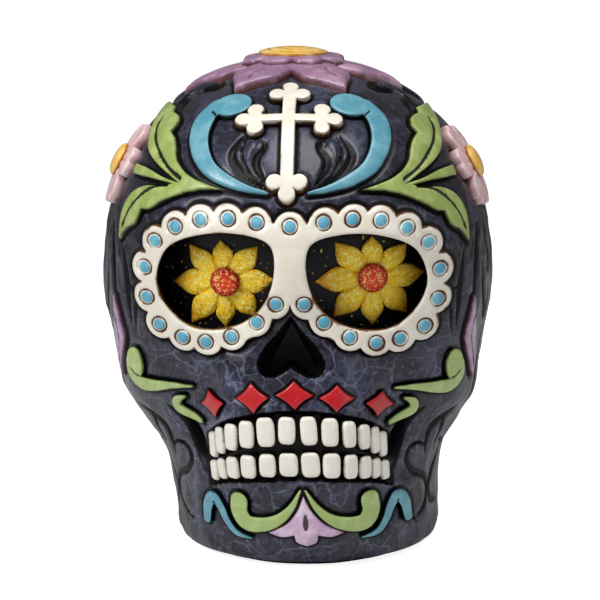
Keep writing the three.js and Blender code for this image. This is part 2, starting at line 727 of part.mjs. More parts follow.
function foreheadCross() {
  const half = cross.shaftWidth / 2;
  const arm = cross.armWidth / 2;
  const outlines = [
    bar(-half, half, cross.bottom - bud.reach, cross.top + bud.reach),
    bar(-cross.armReach - bud.reach, cross.armReach + bud.reach, cross.up - arm, cross.up + arm),
    ...[cross.top, cross.bottom].map((up) => bar(-bud.reach, bud.reach, up - arm, up + arm)),
    ...[-1, 1].map((side) => bar(side * cross.armReach - arm, side * cross.armReach + arm,
      cross.up - bud.reach, cross.up + bud.reach)),
    ...budLobes(0, cross.top, new THREE.Vector2(0, 1)),
    ...budLobes(0, cross.bottom, new THREE.Vector2(0, -1)),
    ...budLobes(cross.armReach, cross.up, new THREE.Vector2(1, 0)),
    ...budLobes(-cross.armReach, cross.up, new THREE.Vector2(-1, 0)),
  ];
  return relief(unite(outlines.map((outline) => drawnPrism(outline, planes.brow()))), cross.proud);
}

// Scrolls, leaves and flowers

function scrollRelief(scroll, side, frame) {
  const outlines = [ribbonOutline(scroll)];
  if (scroll.head) {
    const { acrossShare, upShare, halfWidth, halfHeight } = scroll.head;
    const across = scroll.across + acrossShare * scroll.width;
    const up = scroll.up + upShare * scroll.height;
    outlines.push(ring(across, up, halfWidth, halfHeight, discSides));
  }
  return relief(unite(outlines.map((outline) => drawnPrism(mirrored(outline, side), frame))), scroll.proud);
}

function templeCutter(side, growth = 0) {
  const points = petalOutline(templeFlower, templePetalShares, growth);
  return drawnPrism(mirrored(moved(points, templeFlower.across, templeFlower.up), side), planes.temple(side));
}

function templeLeafSpray(side) {
  const leaves = [upperLeafShares, middleLeafShares, lowerLeafShares].map((shares) => (
    drawnPrism(mirrored(stretchOutline(sized(shares, leafSpray)), side), planes.leaf(side))));
  return relief(unite(leaves).subtract(templeCutter(side, gap)), leafSpray.proud);
}

function templePetals(side) {
  return relief(templeCutter(side), templeFlower.proud);
}

function templeDisc(side) {
  const disc = ring(templeFlower.across, templeFlower.up, templeCentre.radius, templeCentre.radius, discSides);
  return relief(drawnPrism(mirrored(disc, side), planes.temple(side)), templeCentre.proud, templeFlower.proud);
}

function sideSpear(side) {
  const outline = mirrored(stretchOutline(sized(spearShares, spear)), side);
  return relief(drawnPrism(outline, planes.side(side)), spear.proud);
}

function chinLotus() {
  const right = lotusShares.flatMap((stretch) => smooth(stretch.map(([across, up]) => [
    across * lotus.halfWidth, lotus.up + up * lotus.height])));
  const left = mirrored(right.slice(1), -1).reverse();
  const foot = new THREE.Vector2(0, lotus.up - lotus.height);
  return relief(drawnPrism([...right, foot, ...left], planes.face()), lotus.proud);
}

function crownPetals() {
  return relief(prism(petalOutline(crownFlower, crownPetalShares), planes.crown()), crownFlower.proud);
}

function crownHeartPetals() {
  const cutter = prism(petalOutline(crownHeart, crownHeartShares), planes.crown());
  return relief(cutter, crownHeart.proud, crownFlower.proud);
}

function crownDome() {
  const seat = skullHeight + crownHeart.proud + gap;
  const rise = crownCentre.proud - crownHeart.proud - gap;
  const profile = [[0, 0], ...domeShares.slice().reverse()].map(([radiusShare, riseShare]) => (
    new THREE.Vector2(radiusShare * crownCentre.radius, seat + riseShare * rise)));
  const turned = new THREE.LatheGeometry(profile, discSides);
  return solidFrom(turned.rotateX(Math.PI / 2));
}

// Assembly

function leanOf(height) {
  return jawLean * Math.max(1 - height / jawLeanHeight, 0) ** leanFullness;
}

const paint = {
  slate: { color: 0x3b3b44, roughness: 0.32, metalness: 0 },
  cream: { color: 0xf0e8d8, roughness: 0.4, metalness: 0 },
  red: { color: 0xb3202a, roughness: 0.3, metalness: 0 },
  blue: { color: 0x5bb3c6, roughness: 0.35, metalness: 0 },
  green: { color: 0x8fb257, roughness: 0.35, metalness: 0 },
  mauve: { color: 0xa678a8, roughness: 0.35, metalness: 0 },
  pink: { color: 0xd29aae, roughness: 0.38, metalness: 0 },
  yellow: { color: 0xf0b63a, roughness: 0.35, metalness: 0 },
  yellowGlitter: { color: 0xf0cc1e, roughness: 0.5, metalness: 0.1 },
  redGlitter: { color: 0xd23a1e, roughness: 0.5, metalness: 0.1 },
  plugRubber: { color: 0x2a2a2c, roughness: 0.8, metalness: 0 },
  felt: { color: 0x1d1d20, roughness: 0.95, metalness: 0 },
};

const assembly = new THREE.Group();

function add(name, solid, finish) {
  const { vertProperties, triVerts } = solid.getMesh();
  const positions = Array.from(vertProperties, (value, i) => (
    i % 3 === 0 ? value + leanOf(vertProperties[i + 2]) : value));
  const geometry = new THREE.BufferGeometry();
  geometry.setAttribute('position', new THREE.Float32BufferAttribute(positions, 3));
  geometry.setIndex(Array.from(triVerts));
  geometry.computeVertexNormals();
  const mesh = new THREE.Mesh(geometry, new THREE.MeshStandardMaterial(finish));
  mesh.name = name;
  assembly.add(mesh);
}

add('skull_casting', skullCasting(), paint.slate);
add('base_plug', basePlug(), paint.plugRubber);
add('felt_pad', feltPad(), paint.felt);
add('eye_rim', eyeRim(), paint.cream);
add('forehead_cross', foreheadCross(), paint.cream);
add('chin_lotus', chinLotus(), paint.mauve);
add('crown_outer_petals', crownPetals(), paint.mauve);
add('crown_inner_petals', crownHeartPetals(), paint.mauve);
add('crown_flower_centre', crownDome(), paint.yellow);

for (const [side, hand] of [[-1, 'left'], [1, 'right']]) {
  add(`eye_flower_petals_${hand}`, eyeFlowerPetals(side), paint.yellowGlitter);
  add(`eye_flower_centre_${hand}`, eyeFlowerCentre(side), paint.redGlitter);
  add(`temple_flower_petals_${hand}`, templePetals(side), paint.pink);
  add(`temple_flower_centre_${hand}`, templeDisc(side), paint.yellow);
  add(`temple_leaf_spray_${hand}`, templeLeafSpray(side), paint.green);
  add(`forehead_scroll_${hand}`, scrollRelief(foreheadScroll, side, planes.brow()), paint.blue);
  add(`cheek_scroll_${hand}`, scrollRelief(cheekScroll, side, planes.cheek(side)), paint.green);
  add(`cheek_curl_${hand}`, scrollRelief(cheekCurl, side, planes.cheek(side)), paint.green);
  add(`cheek_spear_${hand}`, sideSpear(side), paint.pink);
  add(`chin_green_scroll_${hand}`, scrollRelief(chinGreenScroll, side, planes.face()), paint.green);
  add(`chin_blue_scroll_${hand}`, scrollRelief(chinBlueScroll, side, planes.face()), paint.blue);
}

for (let index = 0; index < diamondRow.count; index += 1) {
  add(`lip_diamond_${index + 1}`, lipDiamond(index), paint.red);
}

for (let index = 0; index < teeth.perArch; index += 1) {
  add(`upper_tooth_${index + 1}`, tooth(upperTeeth, index), paint.cream);
  add(`lower_tooth_${index + 1}`, tooth(lowerTeeth, index), paint.cream);
}

// The origin lies under the middle of the whole ornament, at the table

const extent = new THREE.Box3().setFromObject(assembly);
assembly.position.setY(-(extent.min.y + extent.max.y) / 2);

export default assembly;
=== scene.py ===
import math
from functools import partial

import bpy
import numpy as np
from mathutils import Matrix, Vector
from mathutils.geometry import delaunay_2d_cdt
from mathutils.kdtree import KDTree


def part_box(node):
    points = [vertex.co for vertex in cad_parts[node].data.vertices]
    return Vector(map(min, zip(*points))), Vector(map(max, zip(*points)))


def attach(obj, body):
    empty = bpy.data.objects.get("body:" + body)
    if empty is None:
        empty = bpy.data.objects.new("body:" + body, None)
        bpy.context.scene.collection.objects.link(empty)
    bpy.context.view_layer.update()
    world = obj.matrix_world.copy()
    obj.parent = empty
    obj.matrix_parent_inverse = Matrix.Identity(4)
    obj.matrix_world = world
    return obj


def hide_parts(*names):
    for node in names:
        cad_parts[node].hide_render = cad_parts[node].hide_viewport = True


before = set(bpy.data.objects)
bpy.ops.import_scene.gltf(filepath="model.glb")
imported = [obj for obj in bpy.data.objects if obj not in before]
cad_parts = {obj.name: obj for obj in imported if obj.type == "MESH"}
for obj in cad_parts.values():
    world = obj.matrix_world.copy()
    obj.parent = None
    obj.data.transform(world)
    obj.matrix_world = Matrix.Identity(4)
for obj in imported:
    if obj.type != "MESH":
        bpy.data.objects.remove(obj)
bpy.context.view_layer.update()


# The casting. A hollow skull of stone-filled resin, poured in a mould, on whose skin everything else sits. Its
# form is drawn as level outlines, in millimetres, that swell into a muzzle and lean a little at the jaw.
MM = 0.001
CROWN = 122.5
HALF_WIDTH, FACE_REACH, BACK_REACH = 51.1, 54.5, 63.0
MUZZLE_WIDTH, MUZZLE_REACH, MUZZLE_BLEND = 27.0, 58.0, 5.0
FACE_FULL, BACK_FULL, MUZZLE_FULL = 2.25, 2.2, 3.1
BASE = 1.5
DRAWN_FROM = 66.0
JAW_LEAN, LEAN_BELOW = 3.2, 60.0
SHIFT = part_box("skull_casting")[1][1] / MM - BACK_REACH

# Shares at each level: height, half width, reach of the face, reach of the back
LEVELS = np.array([
    [0, 0.65, 0.862, 0.54], [0.02, 0.668, 0.914, 0.579], [0.073, 0.677, 0.954, 0.635],
    [0.139, 0.689, 0.945, 0.69], [0.204, 0.73, 0.881, 0.754], [0.269, 0.834, 0.826, 0.825],
    [0.318, 0.908, 0.853, 0.889], [0.376, 0.926, 0.908, 0.937], [0.441, 0.957, 0.945, 0.968],
    [0.514, 0.994, 0.963, 0.992], [0.58, 1, 0.982, 1], [0.653, 0.986, 1, 0.992], [0.735, 0.943, 0.982, 0.952],
    [0.8, 0.885, 0.927, 0.889], [0.865, 0.783, 0.822, 0.786], [0.922, 0.636, 0.675, 0.651],
    [0.963, 0.47, 0.505, 0.492], [0.989, 0.274, 0.29, 0.278], [1, 0, 0, 0]])
MUZZLE = np.array([
    [-0.065, 0.519, 0.655], [0.033, 0.741, 0.862], [0.114, 0.889, 0.948], [0.196, 0.944, 0.991],
    [0.278, 0.963, 1], [0.359, 1, 0.983], [0.441, 0.963, 0.931], [0.522, 0.815, 0.845], [0.653, 0.444, 0.655],
    [0.767, 0.185, 0.259], [0.849, 0.019, 0.017]])
# Soft swellings: across, height, half width, half height, how proud
SWELLINGS = [(0, 74, 9, 14, 2.6), (24, 86, 16, 6, 1.6), (-24, 86, 16, 6, 1.6), (40, 47, 10, 6, 2),
             (-40, 47, 10, 6, 2), (0, 8, 14, 8, 1.2)]


def rise(value, low, high):
    share = np.clip((value - low) / (high - low), 0, 1)
    return share * share * (3 - 2 * share)


def along(table, column, height):
    places = table[:, 0]
    squares = table[:, column] ** 2
    slopes = np.empty_like(squares)
    slopes[1:-1] = (squares[2:] - squares[:-2]) / (places[2:] - places[:-2])
    slopes[0] = (squares[1] - squares[0]) / (places[1] - places[0])
    slopes[-1] = (squares[-1] - squares[-2]) / (places[-1] - places[-2])
    share = np.clip(height / CROWN, places[0], places[-1])
    row = np.clip(np.searchsorted(places, share, side="right") - 1, 0, len(places) - 2)
    span = places[row + 1] - places[row]
    t = (share - places[row]) / span
    low = (2 * t**3 - 3 * t**2 + 1) * squares[row] + (t**3 - 2 * t**2 + t) * span * slopes[row]
    high = (3 * t**2 - 2 * t**3) * squares[row + 1] + (t**3 - t**2) * span * slopes[row + 1]
    return np.sqrt(np.maximum(low + high, 1e-6))


def oval(angle, half_width, reach, fullness):
    side = np.abs(np.sin(angle)) / half_width
    front = np.abs(np.cos(angle)) / reach
    return (side**fullness + front**fullness) ** (-1 / fullness)


def skin_radius(angle, height):
    half_width = HALF_WIDTH * along(LEVELS, 1, height)
    back = oval(angle, half_width, BACK_REACH * along(LEVELS, 3, height), BACK_FULL)
    face = oval(angle, half_width, FACE_REACH * along(LEVELS, 2, height), FACE_FULL)
    muzzle = oval(angle, MUZZLE_WIDTH * along(MUZZLE, 1, height), MUZZLE_REACH * along(MUZZLE, 2, height),
                  MUZZLE_FULL)
    overlap = np.maximum(MUZZLE_BLEND - np.abs(face - muzzle), 0)
    face = np.maximum(face, muzzle) + overlap**2 / (4 * MUZZLE_BLEND)
    for across, up, half_wide, half_high, proud in SWELLINGS:
        hill = ((face * np.sin(angle) - across) / half_wide) ** 2 + ((height - up) / half_high) ** 2
        face = face + proud * np.exp(-hill) * np.cos(angle)
    return np.where(np.cos(angle) > 0, face, back)


def level_ring(angle, radius, height, middle=0.0):
    """Points round a middle on the skull's midline, at one height."""
    return np.stack([radius * np.sin(angle), middle - radius * np.cos(angle), height + 0 * angle], -1)


def skin_point(angle, height):
    return level_ring(angle, skin_radius(angle, height), height)


def skin_out(angle, height):
    low, high = np.clip(height - 0.2, 0, CROWN - 0.4), np.clip(height + 0.2, 0.4, CROWN - 0.2)
    around = skin_point(angle + 0.01, height) - skin_point(angle - 0.01, height)
    out = np.cross(around, skin_point(angle, high) - skin_point(angle, low))
    out = out / np.maximum(np.linalg.norm(out, axis=-1, keepdims=True), 1e-9)
    return np.where((height > CROWN - 0.3)[..., None], np.array([0.0, 0.0, 1.0]), out)


def standing(points):
    """Points in metres where they stand in the finished skull, with the lean of its jaw."""
    lean = JAW_LEAN * np.clip(1 - points[:, 2] / LEAN_BELOW, 0, 1) ** 1.4
    return (points + np.stack([lean, np.full(len(points), SHIFT), np.zeros(len(points))], -1)) * MM


class Board:
    """A flat drawing board through the skull's axis, whose drawings are carried straight out to the skin."""

    def __init__(self, azimuth, elevation):
        turn, tilt = math.radians(azimuth), math.radians(elevation)
        self.across = np.array([math.cos(turn), math.sin(turn), 0])
        self.out = np.array([
            math.sin(turn) * math.cos(tilt), -math.cos(turn) * math.cos(tilt), math.sin(tilt)])
        self.up = np.cross(self.out, self.across)
        self.start = np.array([0, 0, DRAWN_FROM])

    def drawn(self, points):
        return np.stack([(points - self.start) @ self.across, (points - self.start) @ self.up], -1)

    def carried(self, spots, lifts):
        foot = self.start + spots[:, :1] * self.across + spots[:, 1:] * self.up
        near, far = np.zeros(len(spots)), np.full(len(spots), 110.0)
        for _ in range(24):
            middle = (near + far) / 2
            x, y, z = (foot + middle[:, None] * self.out).T
            inside = (z > 0) & (z < CROWN)
            inside &= np.hypot(x, y) < skin_radius(np.arctan2(x, -y), np.clip(z, 0, CROWN))
            near, far = np.where(inside, middle, near), np.where(inside, far, middle)
        points = foot + near[:, None] * self.out
        square = skin_out(np.arctan2(points[:, 0], -points[:, 1]), points[:, 2]) @ self.out
        return points + (lifts / np.maximum(square, 0.4))[:, None] * self.out


FACE = Board(0, 0)


def away(line, spots, closed=False):
    """Distance of spots from a drawn line."""
    start = line if closed else line[:-1]
    edge = (np.roll(line, -1, 0) if closed else line[1:]) - start
    reach = spots[:, None] - start[None]
    share = np.clip((reach * edge).sum(-1) / np.maximum((edge * edge).sum(-1), 1e-9), 0, 1)
    return np.linalg.norm(reach - share[..., None] * edge, axis=-1).min(1)


def depth_in(ring, spots):
    """How deep spots lie inside a closed outline; outside it is negative, down to -5."""
    depth = np.full(len(spots), -5.0)
    near = ((spots > ring.min(0) - 5) & (spots < ring.max(0) + 5)).all(1)
    if near.any():
        x, y = spots[near].T[:, :, None]
        a, b = ring.T[:, None, :], np.roll(ring, -1, 0).T[:, None, :]
        crossing = (b[0] - a[0]) * (y - a[1]) / (b[1] - a[1] + 1e-12) + a[0]
        crossed = ((a[1] > y) != (b[1] > y)) & (x < crossing)
        inside = np.where(crossed.sum(1) % 2 == 1, 1, -1)
        depth[near] = np.maximum(inside * away(ring, spots[near], closed=True), -5)
    return depth


# The skin is a net of points, close together on the face. What is cut in it is kept as a depth, and what is
# painted black as how deep a point lies inside the black.
def walked_along(line):
    return np.concatenate([[0], np.cumsum(np.linalg.norm(np.diff(line, axis=0), axis=1))])


def crowded(places, steps, spacing, total):
    """As many of the places as asked for, at distances that go with the spacing."""
    count = np.concatenate([[0], np.cumsum(steps / spacing)])
    return np.interp(np.linspace(0, count[-1], total + 1)[:-1], count, places)


fine_heights = np.linspace(BASE, CROWN, 4000)
steps = np.diff(walked_along(skin_point(np.full(4000, 0.5), fine_heights)))
spacing = np.interp(fine_heights[1:], [0, 15, 45, 95, CROWN], [1.0, 0.7, 0.5, 0.5, 1.1])
levels = crowded(fine_heights, steps, spacing, 223)
fine_angles = np.linspace(-math.pi, math.pi, 4001)
steps = skin_radius(fine_angles, np.full(4001, 70.0))[1:] * (2 * math.pi / 4000)
spacing = np.interp(np.abs(np.degrees(fine_angles[1:])), [0, 55, 62, 100, 112, 180],
                    [0.48, 0.48, 0.8, 0.8, 2.2, 2.2])
bearings = crowded(fine_angles, steps, spacing, 400)
net_angle, net_height = (values.ravel() for values in np.meshgrid(bearings, levels))
net = skin_point(net_angle, net_height)
net_out = skin_out(net_angle, net_height)
cut = np.zeros(len(net))
raised = np.zeros(len(net))
black = np.full(len(net), -5.0)


def seen_from(board, side):
    """The points of the skin that face a board, and where they lie on it, mirrored for the left side."""
    seen = np.flatnonzero(net_out @ board.out > 0.12)
    return seen, board.drawn(net[seen]) * [side, 1]


def keep_most(layer, seen, values):
    layer[seen] = np.maximum(layer[seen], values)


def hollow(board, side, ring, deep, wall):
    seen, spots = seen_from(board, side)
    inside = depth_in(ring, spots)
    keep_most(cut, seen, deep * rise(inside, -0.3, wall))
    keep_most(black, seen, inside + 0.3)


# The eye sockets, the nose, and the hollows beside the mouth are cut in the pattern and painted black inside.
# The sockets are cut straight back, so that their walls stand square to the face.
def curve(points, closed=False, step=0.5):
    """A smooth line through drawn points, as the hand draws it, with a spot every step of its length."""
    knots = np.array(points, float)
    if closed:
        knots = np.vstack([knots[-1], knots, knots[:2]])
    else:
        knots = np.vstack([2 * knots[0] - knots[1], knots, 2 * knots[-1] - knots[-2]])
    line = []
    for before, start, end, after in zip(knots, knots[1:], knots[2:], knots[3:]):
        gaps = [max(np.linalg.norm(b - a) ** 0.5, 1e-6)
                for a, b in ((before, start), (start, end), (end, after))]
        leave = (start - before) / gaps[0] - (end - before) / (gaps[0] + gaps[1]) + (end - start) / gaps[1]
        arrive = (end - start) / gaps[1] - (after - start) / (gaps[1] + gaps[2]) + (after - end) / gaps[2]
        leave, arrive = leave * gaps[1], arrive * gaps[1]
        for t in np.linspace(0, 1, 12, endpoint=False):
            line.append(start + leave * t + (3 * (end - start) - 2 * leave - arrive) * t**2
                        + (2 * (start - end) + leave + arrive) * t**3)
    line.append(knots[-2])
    line = np.array(line)
    walked = walked_along(line)
    stops = np.linspace(0, walked[-1], max(int(walked[-1] / step), 3) + 1)
    line = np.stack([np.interp(stops, walked, line[:, i]) for i in range(line.shape[1])], -1)
    return line[:-1] if closed else line


def stretches(parts, across=0, up=0, width=1, height=1):
    """A closed outline of smooth stretches that meet in points."""
    lines = [curve(np.array(part) * [width, height] + [across, up])[:-1] for part in parts]
    return np.vstack(lines)


EYE = (19.1, 7.5, 15, 12.5)
EYE_SHARES = np.array([
    (-0.94, 0.78), (-0.45, 0.99), (0.24, 0.95), (0.79, 0.64), (1, 0), (0.87, -0.51), (0.45, -0.95),
    (-0.16, -0.97), (-0.7, -0.63), (-0.99, 0.08)])
SOCKET_DEPTH, SOCKET_MARGIN = 6.5, 1.6


def eye_ring(growth=0.0):
    across, up, half_width, half_height = EYE
    return curve(EYE_SHARES * [half_width + growth, half_height + growth] + [across, up], closed=True)


for side in (-1, 1):
    hollow(FACE, side, eye_ring(SOCKET_MARGIN), SOCKET_DEPTH, wall=0.6)
dusted = rise(cut, SOCKET_DEPTH - 1.5, SOCKET_DEPTH)
sunk, cut = cut, np.zeros(len(net))

nose_half = np.array([
    (0, 0), (0.36, -0.27), (0.78, -0.53), (1, -0.78), (0.9, -0.94), (0.6, -1), (0.28, -0.93), (0, -0.83)])
nose_half = curve(nose_half * [8.4, 15] + [0, -1.1])
nose_ring = np.vstack([nose_half[:-1], nose_half[:0:-1] * [-1, 1]])
hollow(FACE, 1, nose_ring, deep=9.0, wall=1.7)

cheek_hollow = stretches([
    [(1, 1), (0.62, 0.75), (0.45, 0.5), (0.29, 0.22), (0, 0)],
    [(0, 0), (0.11, 0.28), (0.17, 0.56), (0.35, 0.78), (1, 1)]], 21.5, -45, 11.5, 18)
for side in (-1, 1):
    hollow(FACE, side, cheek_hollow, deep=4.0, wall=1.6)


# The forehead, the sides and the jaw carry gouged strokes. Beside the cross are raised drops between them, and
# beside the crown flower dark leaves.
def groove(board, side, line, deep, half_width):
    """A cut made with a small gouge, washed black, that runs out thin at both ends."""
    seen, spots = seen_from(board, side)
    near = ((spots > line.min(0) - 3) & (spots < line.max(0) + 3)).all(1)
    seen, spots = seen[near], spots[near]
    apart = away(line, spots)
    share = np.linalg.norm(spots[:, None] - line[None], axis=-1).argmin(1) / (len(line) - 1)
    width = half_width * (0.3 + 0.85 * np.sin(math.pi * share))
    keep_most(cut, seen, deep * (1 - rise(apart / width, 0, 1.5)))
    keep_most(black, seen, width * 1.15 - apart)


def swollen(board, side, ring, proud, edge):
    seen, spots = seen_from(board, side)
    keep_most(raised, seen, proud * rise(depth_in(ring, spots), 0, edge))


def boards(azimuth, elevation):
    """The boards of an ornament that is the same on both sides."""
    return {side: Board(azimuth * side, elevation) for side in (-1, 1)}


BROW, CROWN_FRONT, TEMPLE_SIDE, JAW = boards(0, 38), boards(0, 62), boards(60, 0), boards(50, -10)
# Where strokes are drawn, the depth and half width of their gouge, and the points that each runs through
STROKES = [
    (BROW, 0.9, 1.0, [[(12.3, 8.6), (15.1, 3.3), (11.9, -3.5), (6.4, -7.3)]]),
    (BROW, 0.9, 0.85, [[(8.4, 7.6), (6.7, 5.9), (7.2, 3.9), (8.6, 1.9), (8.8, -0.5), (7.5, -3.7),
                        (5.8, -6.4)]]),
    (BROW, 0.5, 0.45, [[(11.5, 8.2), (12.6, 3.4), (10.6, -2.6), (6.2, -7.1)]]),
    (CROWN_FRONT, 0.5, 0.5, [[(30, 9), (27.6, 14.6), (23.6, 17.6)]]),
    (TEMPLE_SIDE, 0.9, 1.0, [
        [(-5.2, 13.5), (-7.2, 4.5), (-7.4, -6)], [(5.1, 20.1), (1.6, 10), (0.4, -6)],
        [(6.2, 9), (8, 0), (12.8, -7), (13.6, 0)], [(18, 24), (19, 11), (17.6, 5), (20, -1), (21, -14)],
        [(25, 26), (26, 11), (27, -4), (27.5, -18)], [(14, -10), (12, -21), (10.5, -32)]]),
    (TEMPLE_SIDE, 0.6, 0.6, [
        [(-10.9, 12.3), (-10.4, 9.8), (-10.6, 7.2), (-10, 5.2)], [(12.1, 21), (10.4, 15), (12.6, 10), (11, 5)],
        [(-8.1, 4.4), (-10.4, 2.3), (-11.1, 0), (-10.3, -2.8), (-9.1, -7.9)],
        [(2.7, -7.9), (0.6, -11.4), (-1.5, -14.3)]]),
    (JAW, 0.9, 1.0, [
        [(9.2, -21), (-0.5, -25.6), (-0.2, -33)],
        [(7.5, -30.7), (10.8, -32.4), (11, -36), (6.6, -39.6), (3.8, -43.4), (5.6, -46.8), (9.8, -48.8),
         (15.3, -49.5)]]),
    (JAW, 0.7, 0.8, [
        [(5.6, -21.7), (4.7, -23.8), (5.6, -27.2), (4.4, -31)],
        [(0, -31), (-5.1, -28.9), (-8.5, -30.3), (-9.1, -33.2), (-6.4, -36.2), (-0.6, -38.7), (1.9, -41.8),
         (1.4, -45.7), (-2.4, -48), (-9, -49.4)]])]
BROW_DROP = [(10.2, 7.6), (8.4, 6.2), (8.4, 4.6), (9.8, 2.2), (10, -0.9), (8.8, -4), (7, -6.3), (9.4, -4.3),
             (11.2, -0.7), (12, 3.3), (11.4, 6)]
CROWN_LEAVES = [
    [(30.8, 4.8), (31.6, 9), (31, 14), (28.5, 18.5), (25, 21), (21.5, 20.5), (19.6, 16), (19.8, 11),
     (21.4, 11.6), (24.4, 14), (27, 12.4), (28.8, 8.6)],
    [(33.6, 27), (30, 30), (25, 32), (20, 32), (22, 28.5), (25, 26.5), (29, 26.5)]]
for side in (-1, 1):
    for board, deep, half_width, strokes in STROKES:
        for stroke in strokes:
            groove(board[side], side, curve(stroke), deep, half_width)
    swollen(BROW[side], side, curve(BROW_DROP, closed=True), proud=0.6, edge=1.0)
    for leaf in CROWN_LEAVES:
        leaf_ring = curve(leaf, closed=True)
        groove(CROWN_FRONT[side], side, np.vstack([leaf_ring, leaf_ring[:1]]), 0.9, 1.0)
        swollen(CROWN_FRONT[side], side, leaf_ring, proud=0.9, edge=1.1)


# The eye rim is one raised plate with a scalloped edge that bridges the nose. It is painted cream and wiped
# with a brown wash that stays in the ring round each stud, and its sides are painted dark as painted shade.
# The turquoise studs are set in after.
def straight_sides(corners):
    """A closed outline of straight sides, with a spot every half millimetre."""
    return np.vstack([np.linspace(a, b, 2 + int(math.dist(a, b) / 0.5))[:-1]
                      for a, b in zip(corners, [*corners[1:], corners[0]])])


def full_turn(count):
    return np.linspace(0, 2 * math.pi, count, endpoint=False)


def ray(turns):
    """Steps of length one, toward some turns."""
    return np.stack([np.cos(turns), np.sin(turns)], -1)


def oval_ring(across, up, half_width, half_height):
    turns = full_turn(max(int(6.3 * half_width / 0.5), 12))
    return ray(turns) * [half_width, half_height] + [across, up]


def depth_in_any(rings, spots):
    return np.maximum.reduce([depth_in(ring, spots) for ring in rings])


def seated(board, side, depth, wash):
    """The cut line round an ornament, washed black."""
    seen, spots = seen_from(board, side)
    inside = depth(spots)
    keep_most(cut, seen, 0.5 * (1 - rise(-inside, 0, 1.5)))
    keep_most(black, seen, inside + wash)


class Wire:
    """The output of a node, which takes part in arithmetic as a number does."""

    def __init__(self, nodes, socket):
        self.nodes = nodes
        self.socket = socket

    def __add__(self, other):
        return self.nodes.maths("ADD", self, other)

    def __sub__(self, other):
        return self.nodes.maths("SUBTRACT", self, other)

    def __rsub__(self, other):
        return self.nodes.maths("SUBTRACT", other, self)

    def __mul__(self, other):
        return self.nodes.maths("MULTIPLY", self, other)


class Nodes:
    """A node tree, whose nodes are added one by one."""

    def __init__(self, tree):
        self.tree = tree

    def feed(self, socket, value):
        if isinstance(value, Wire):
            self.tree.links.new(value.socket, socket)
        else:
            socket.default_value = value

    def node(self, kind, settings=None, sockets=None, out=0):
        node = self.tree.nodes.new(kind)
        for name, value in (settings or {}).items():
            setattr(node, name, value)
        for name, value in (sockets or {}).items():
            self.feed(node.inputs[name], value)
        return Wire(self, node.outputs[out])

    def maths(self, operation, first, second):
        return self.node("ShaderNodeMath", {"operation": operation}, {0: first, 1: second})

    def mix(self, share, under, over):
        return self.node("ShaderNodeMix", {"data_type": "RGBA"}, {0: share, 6: under, 7: over}, out=2)

    def rise(self, value, low, high):
        return self.node("ShaderNodeMapRange", {"interpolation_type": "SMOOTHSTEP"},
                         {"Value": value, "From Min": low, "From Max": high})


class Finish(Nodes):
    """A painted or moulded finish."""

    def __init__(self, name, fixed=None):
        self.material = bpy.data.materials.new(name)
        self.material.use_nodes = True
        super().__init__(self.material.node_tree)
        self.shader = self.tree.nodes["Principled BSDF"]
        for socket, value in (fixed or {}).items():
            self.shader.inputs[socket].default_value = value
        self.place = self.node("ShaderNodeTexCoord", out="Object")

    def mark(self, name):
        return self.node("ShaderNodeAttribute", {"attribute_name": name}, out="Fac")

    def grain(self, size, detail=3.0, roughness=0.5):
        return self.node("ShaderNodeTexNoise", None, {
            "Vector": self.place, "Scale": 1 / (size * MM), "Detail": detail, "Roughness": roughness})

    def cells(self, size):
        return self.node("ShaderNodeTexVoronoi", None, {"Vector": self.place, "Scale": 1 / (size * MM)},
                         out="Color")

    def vector(self, operation, sockets):
        return self.node("ShaderNodeVectorMath", {"operation": operation}, sockets)

    def bump(self, height, depth):
        return self.node("ShaderNodeBump", None, {"Height": height, "Distance": depth * MM, "Strength": 1.0})

    def blackened(self, share):
        """Lays a dull black wash over the finish where the share is 1."""
        wash = self.node("ShaderNodeBsdfPrincipled", None, {
            "Base Color": shade(9, 7, 8), "Roughness": 0.42, "Specular IOR Level": 0.22})
        bare = Wire(self, self.shader.outputs[0])
        self.feed(self.tree.nodes["Material Output"].inputs["Surface"],
                  self.node("ShaderNodeMixShader", None, {0: share, 1: bare, 2: wash}))

    def wear(self, color, roughness, normal):
        self.feed(self.shader.inputs["Base Color"], color)
        self.feed(self.shader.inputs["Roughness"], roughness)
        self.feed(self.shader.inputs["Normal"], normal)
        return self.material


def shade(red, green, blue):
    """A paint colour as it is read on a screen, made linear."""
    tones = [tone / 255 for tone in (red, green, blue)]
    return (*[tone / 12.92 if tone <= 0.04045 else ((tone + 0.055) / 1.055) ** 2.4 for tone in tones], 1.0)


def aged(name, paint, pale, dark, wash=0.5, gloss=0.32, low=-0.45, uneven=0.9, coat=0.25):
    """Brushed paint with paler strokes, a dark wash that stays at the edge, painted shade down the side, and
    varnish.
    """
    finish = Finish(name, {"Coat Weight": coat, "Coat Roughness": 0.12})
    mottle, fine = finish.grain(5.0, 4.0, 0.6), finish.grain(0.5, 3.0)
    color = finish.mix(finish.rise(mottle, 0.42, 0.68), shade(*paint), shade(*pale))
    # Low at the edge and down the side: dark wash at the edge, painted shade on the side
    wash_and_side_shade = finish.mark("edge") + (mottle - 0.5) * uneven + (fine - 0.5) * 0.35
    color = finish.mix(1 - finish.rise(wash_and_side_shade, low, wash), color, shade(*dark))
    return finish.wear(color, fine * 0.16 + (gloss - 0.08), finish.bump(mottle * 0.6 + fine * 0.4, 0.12))


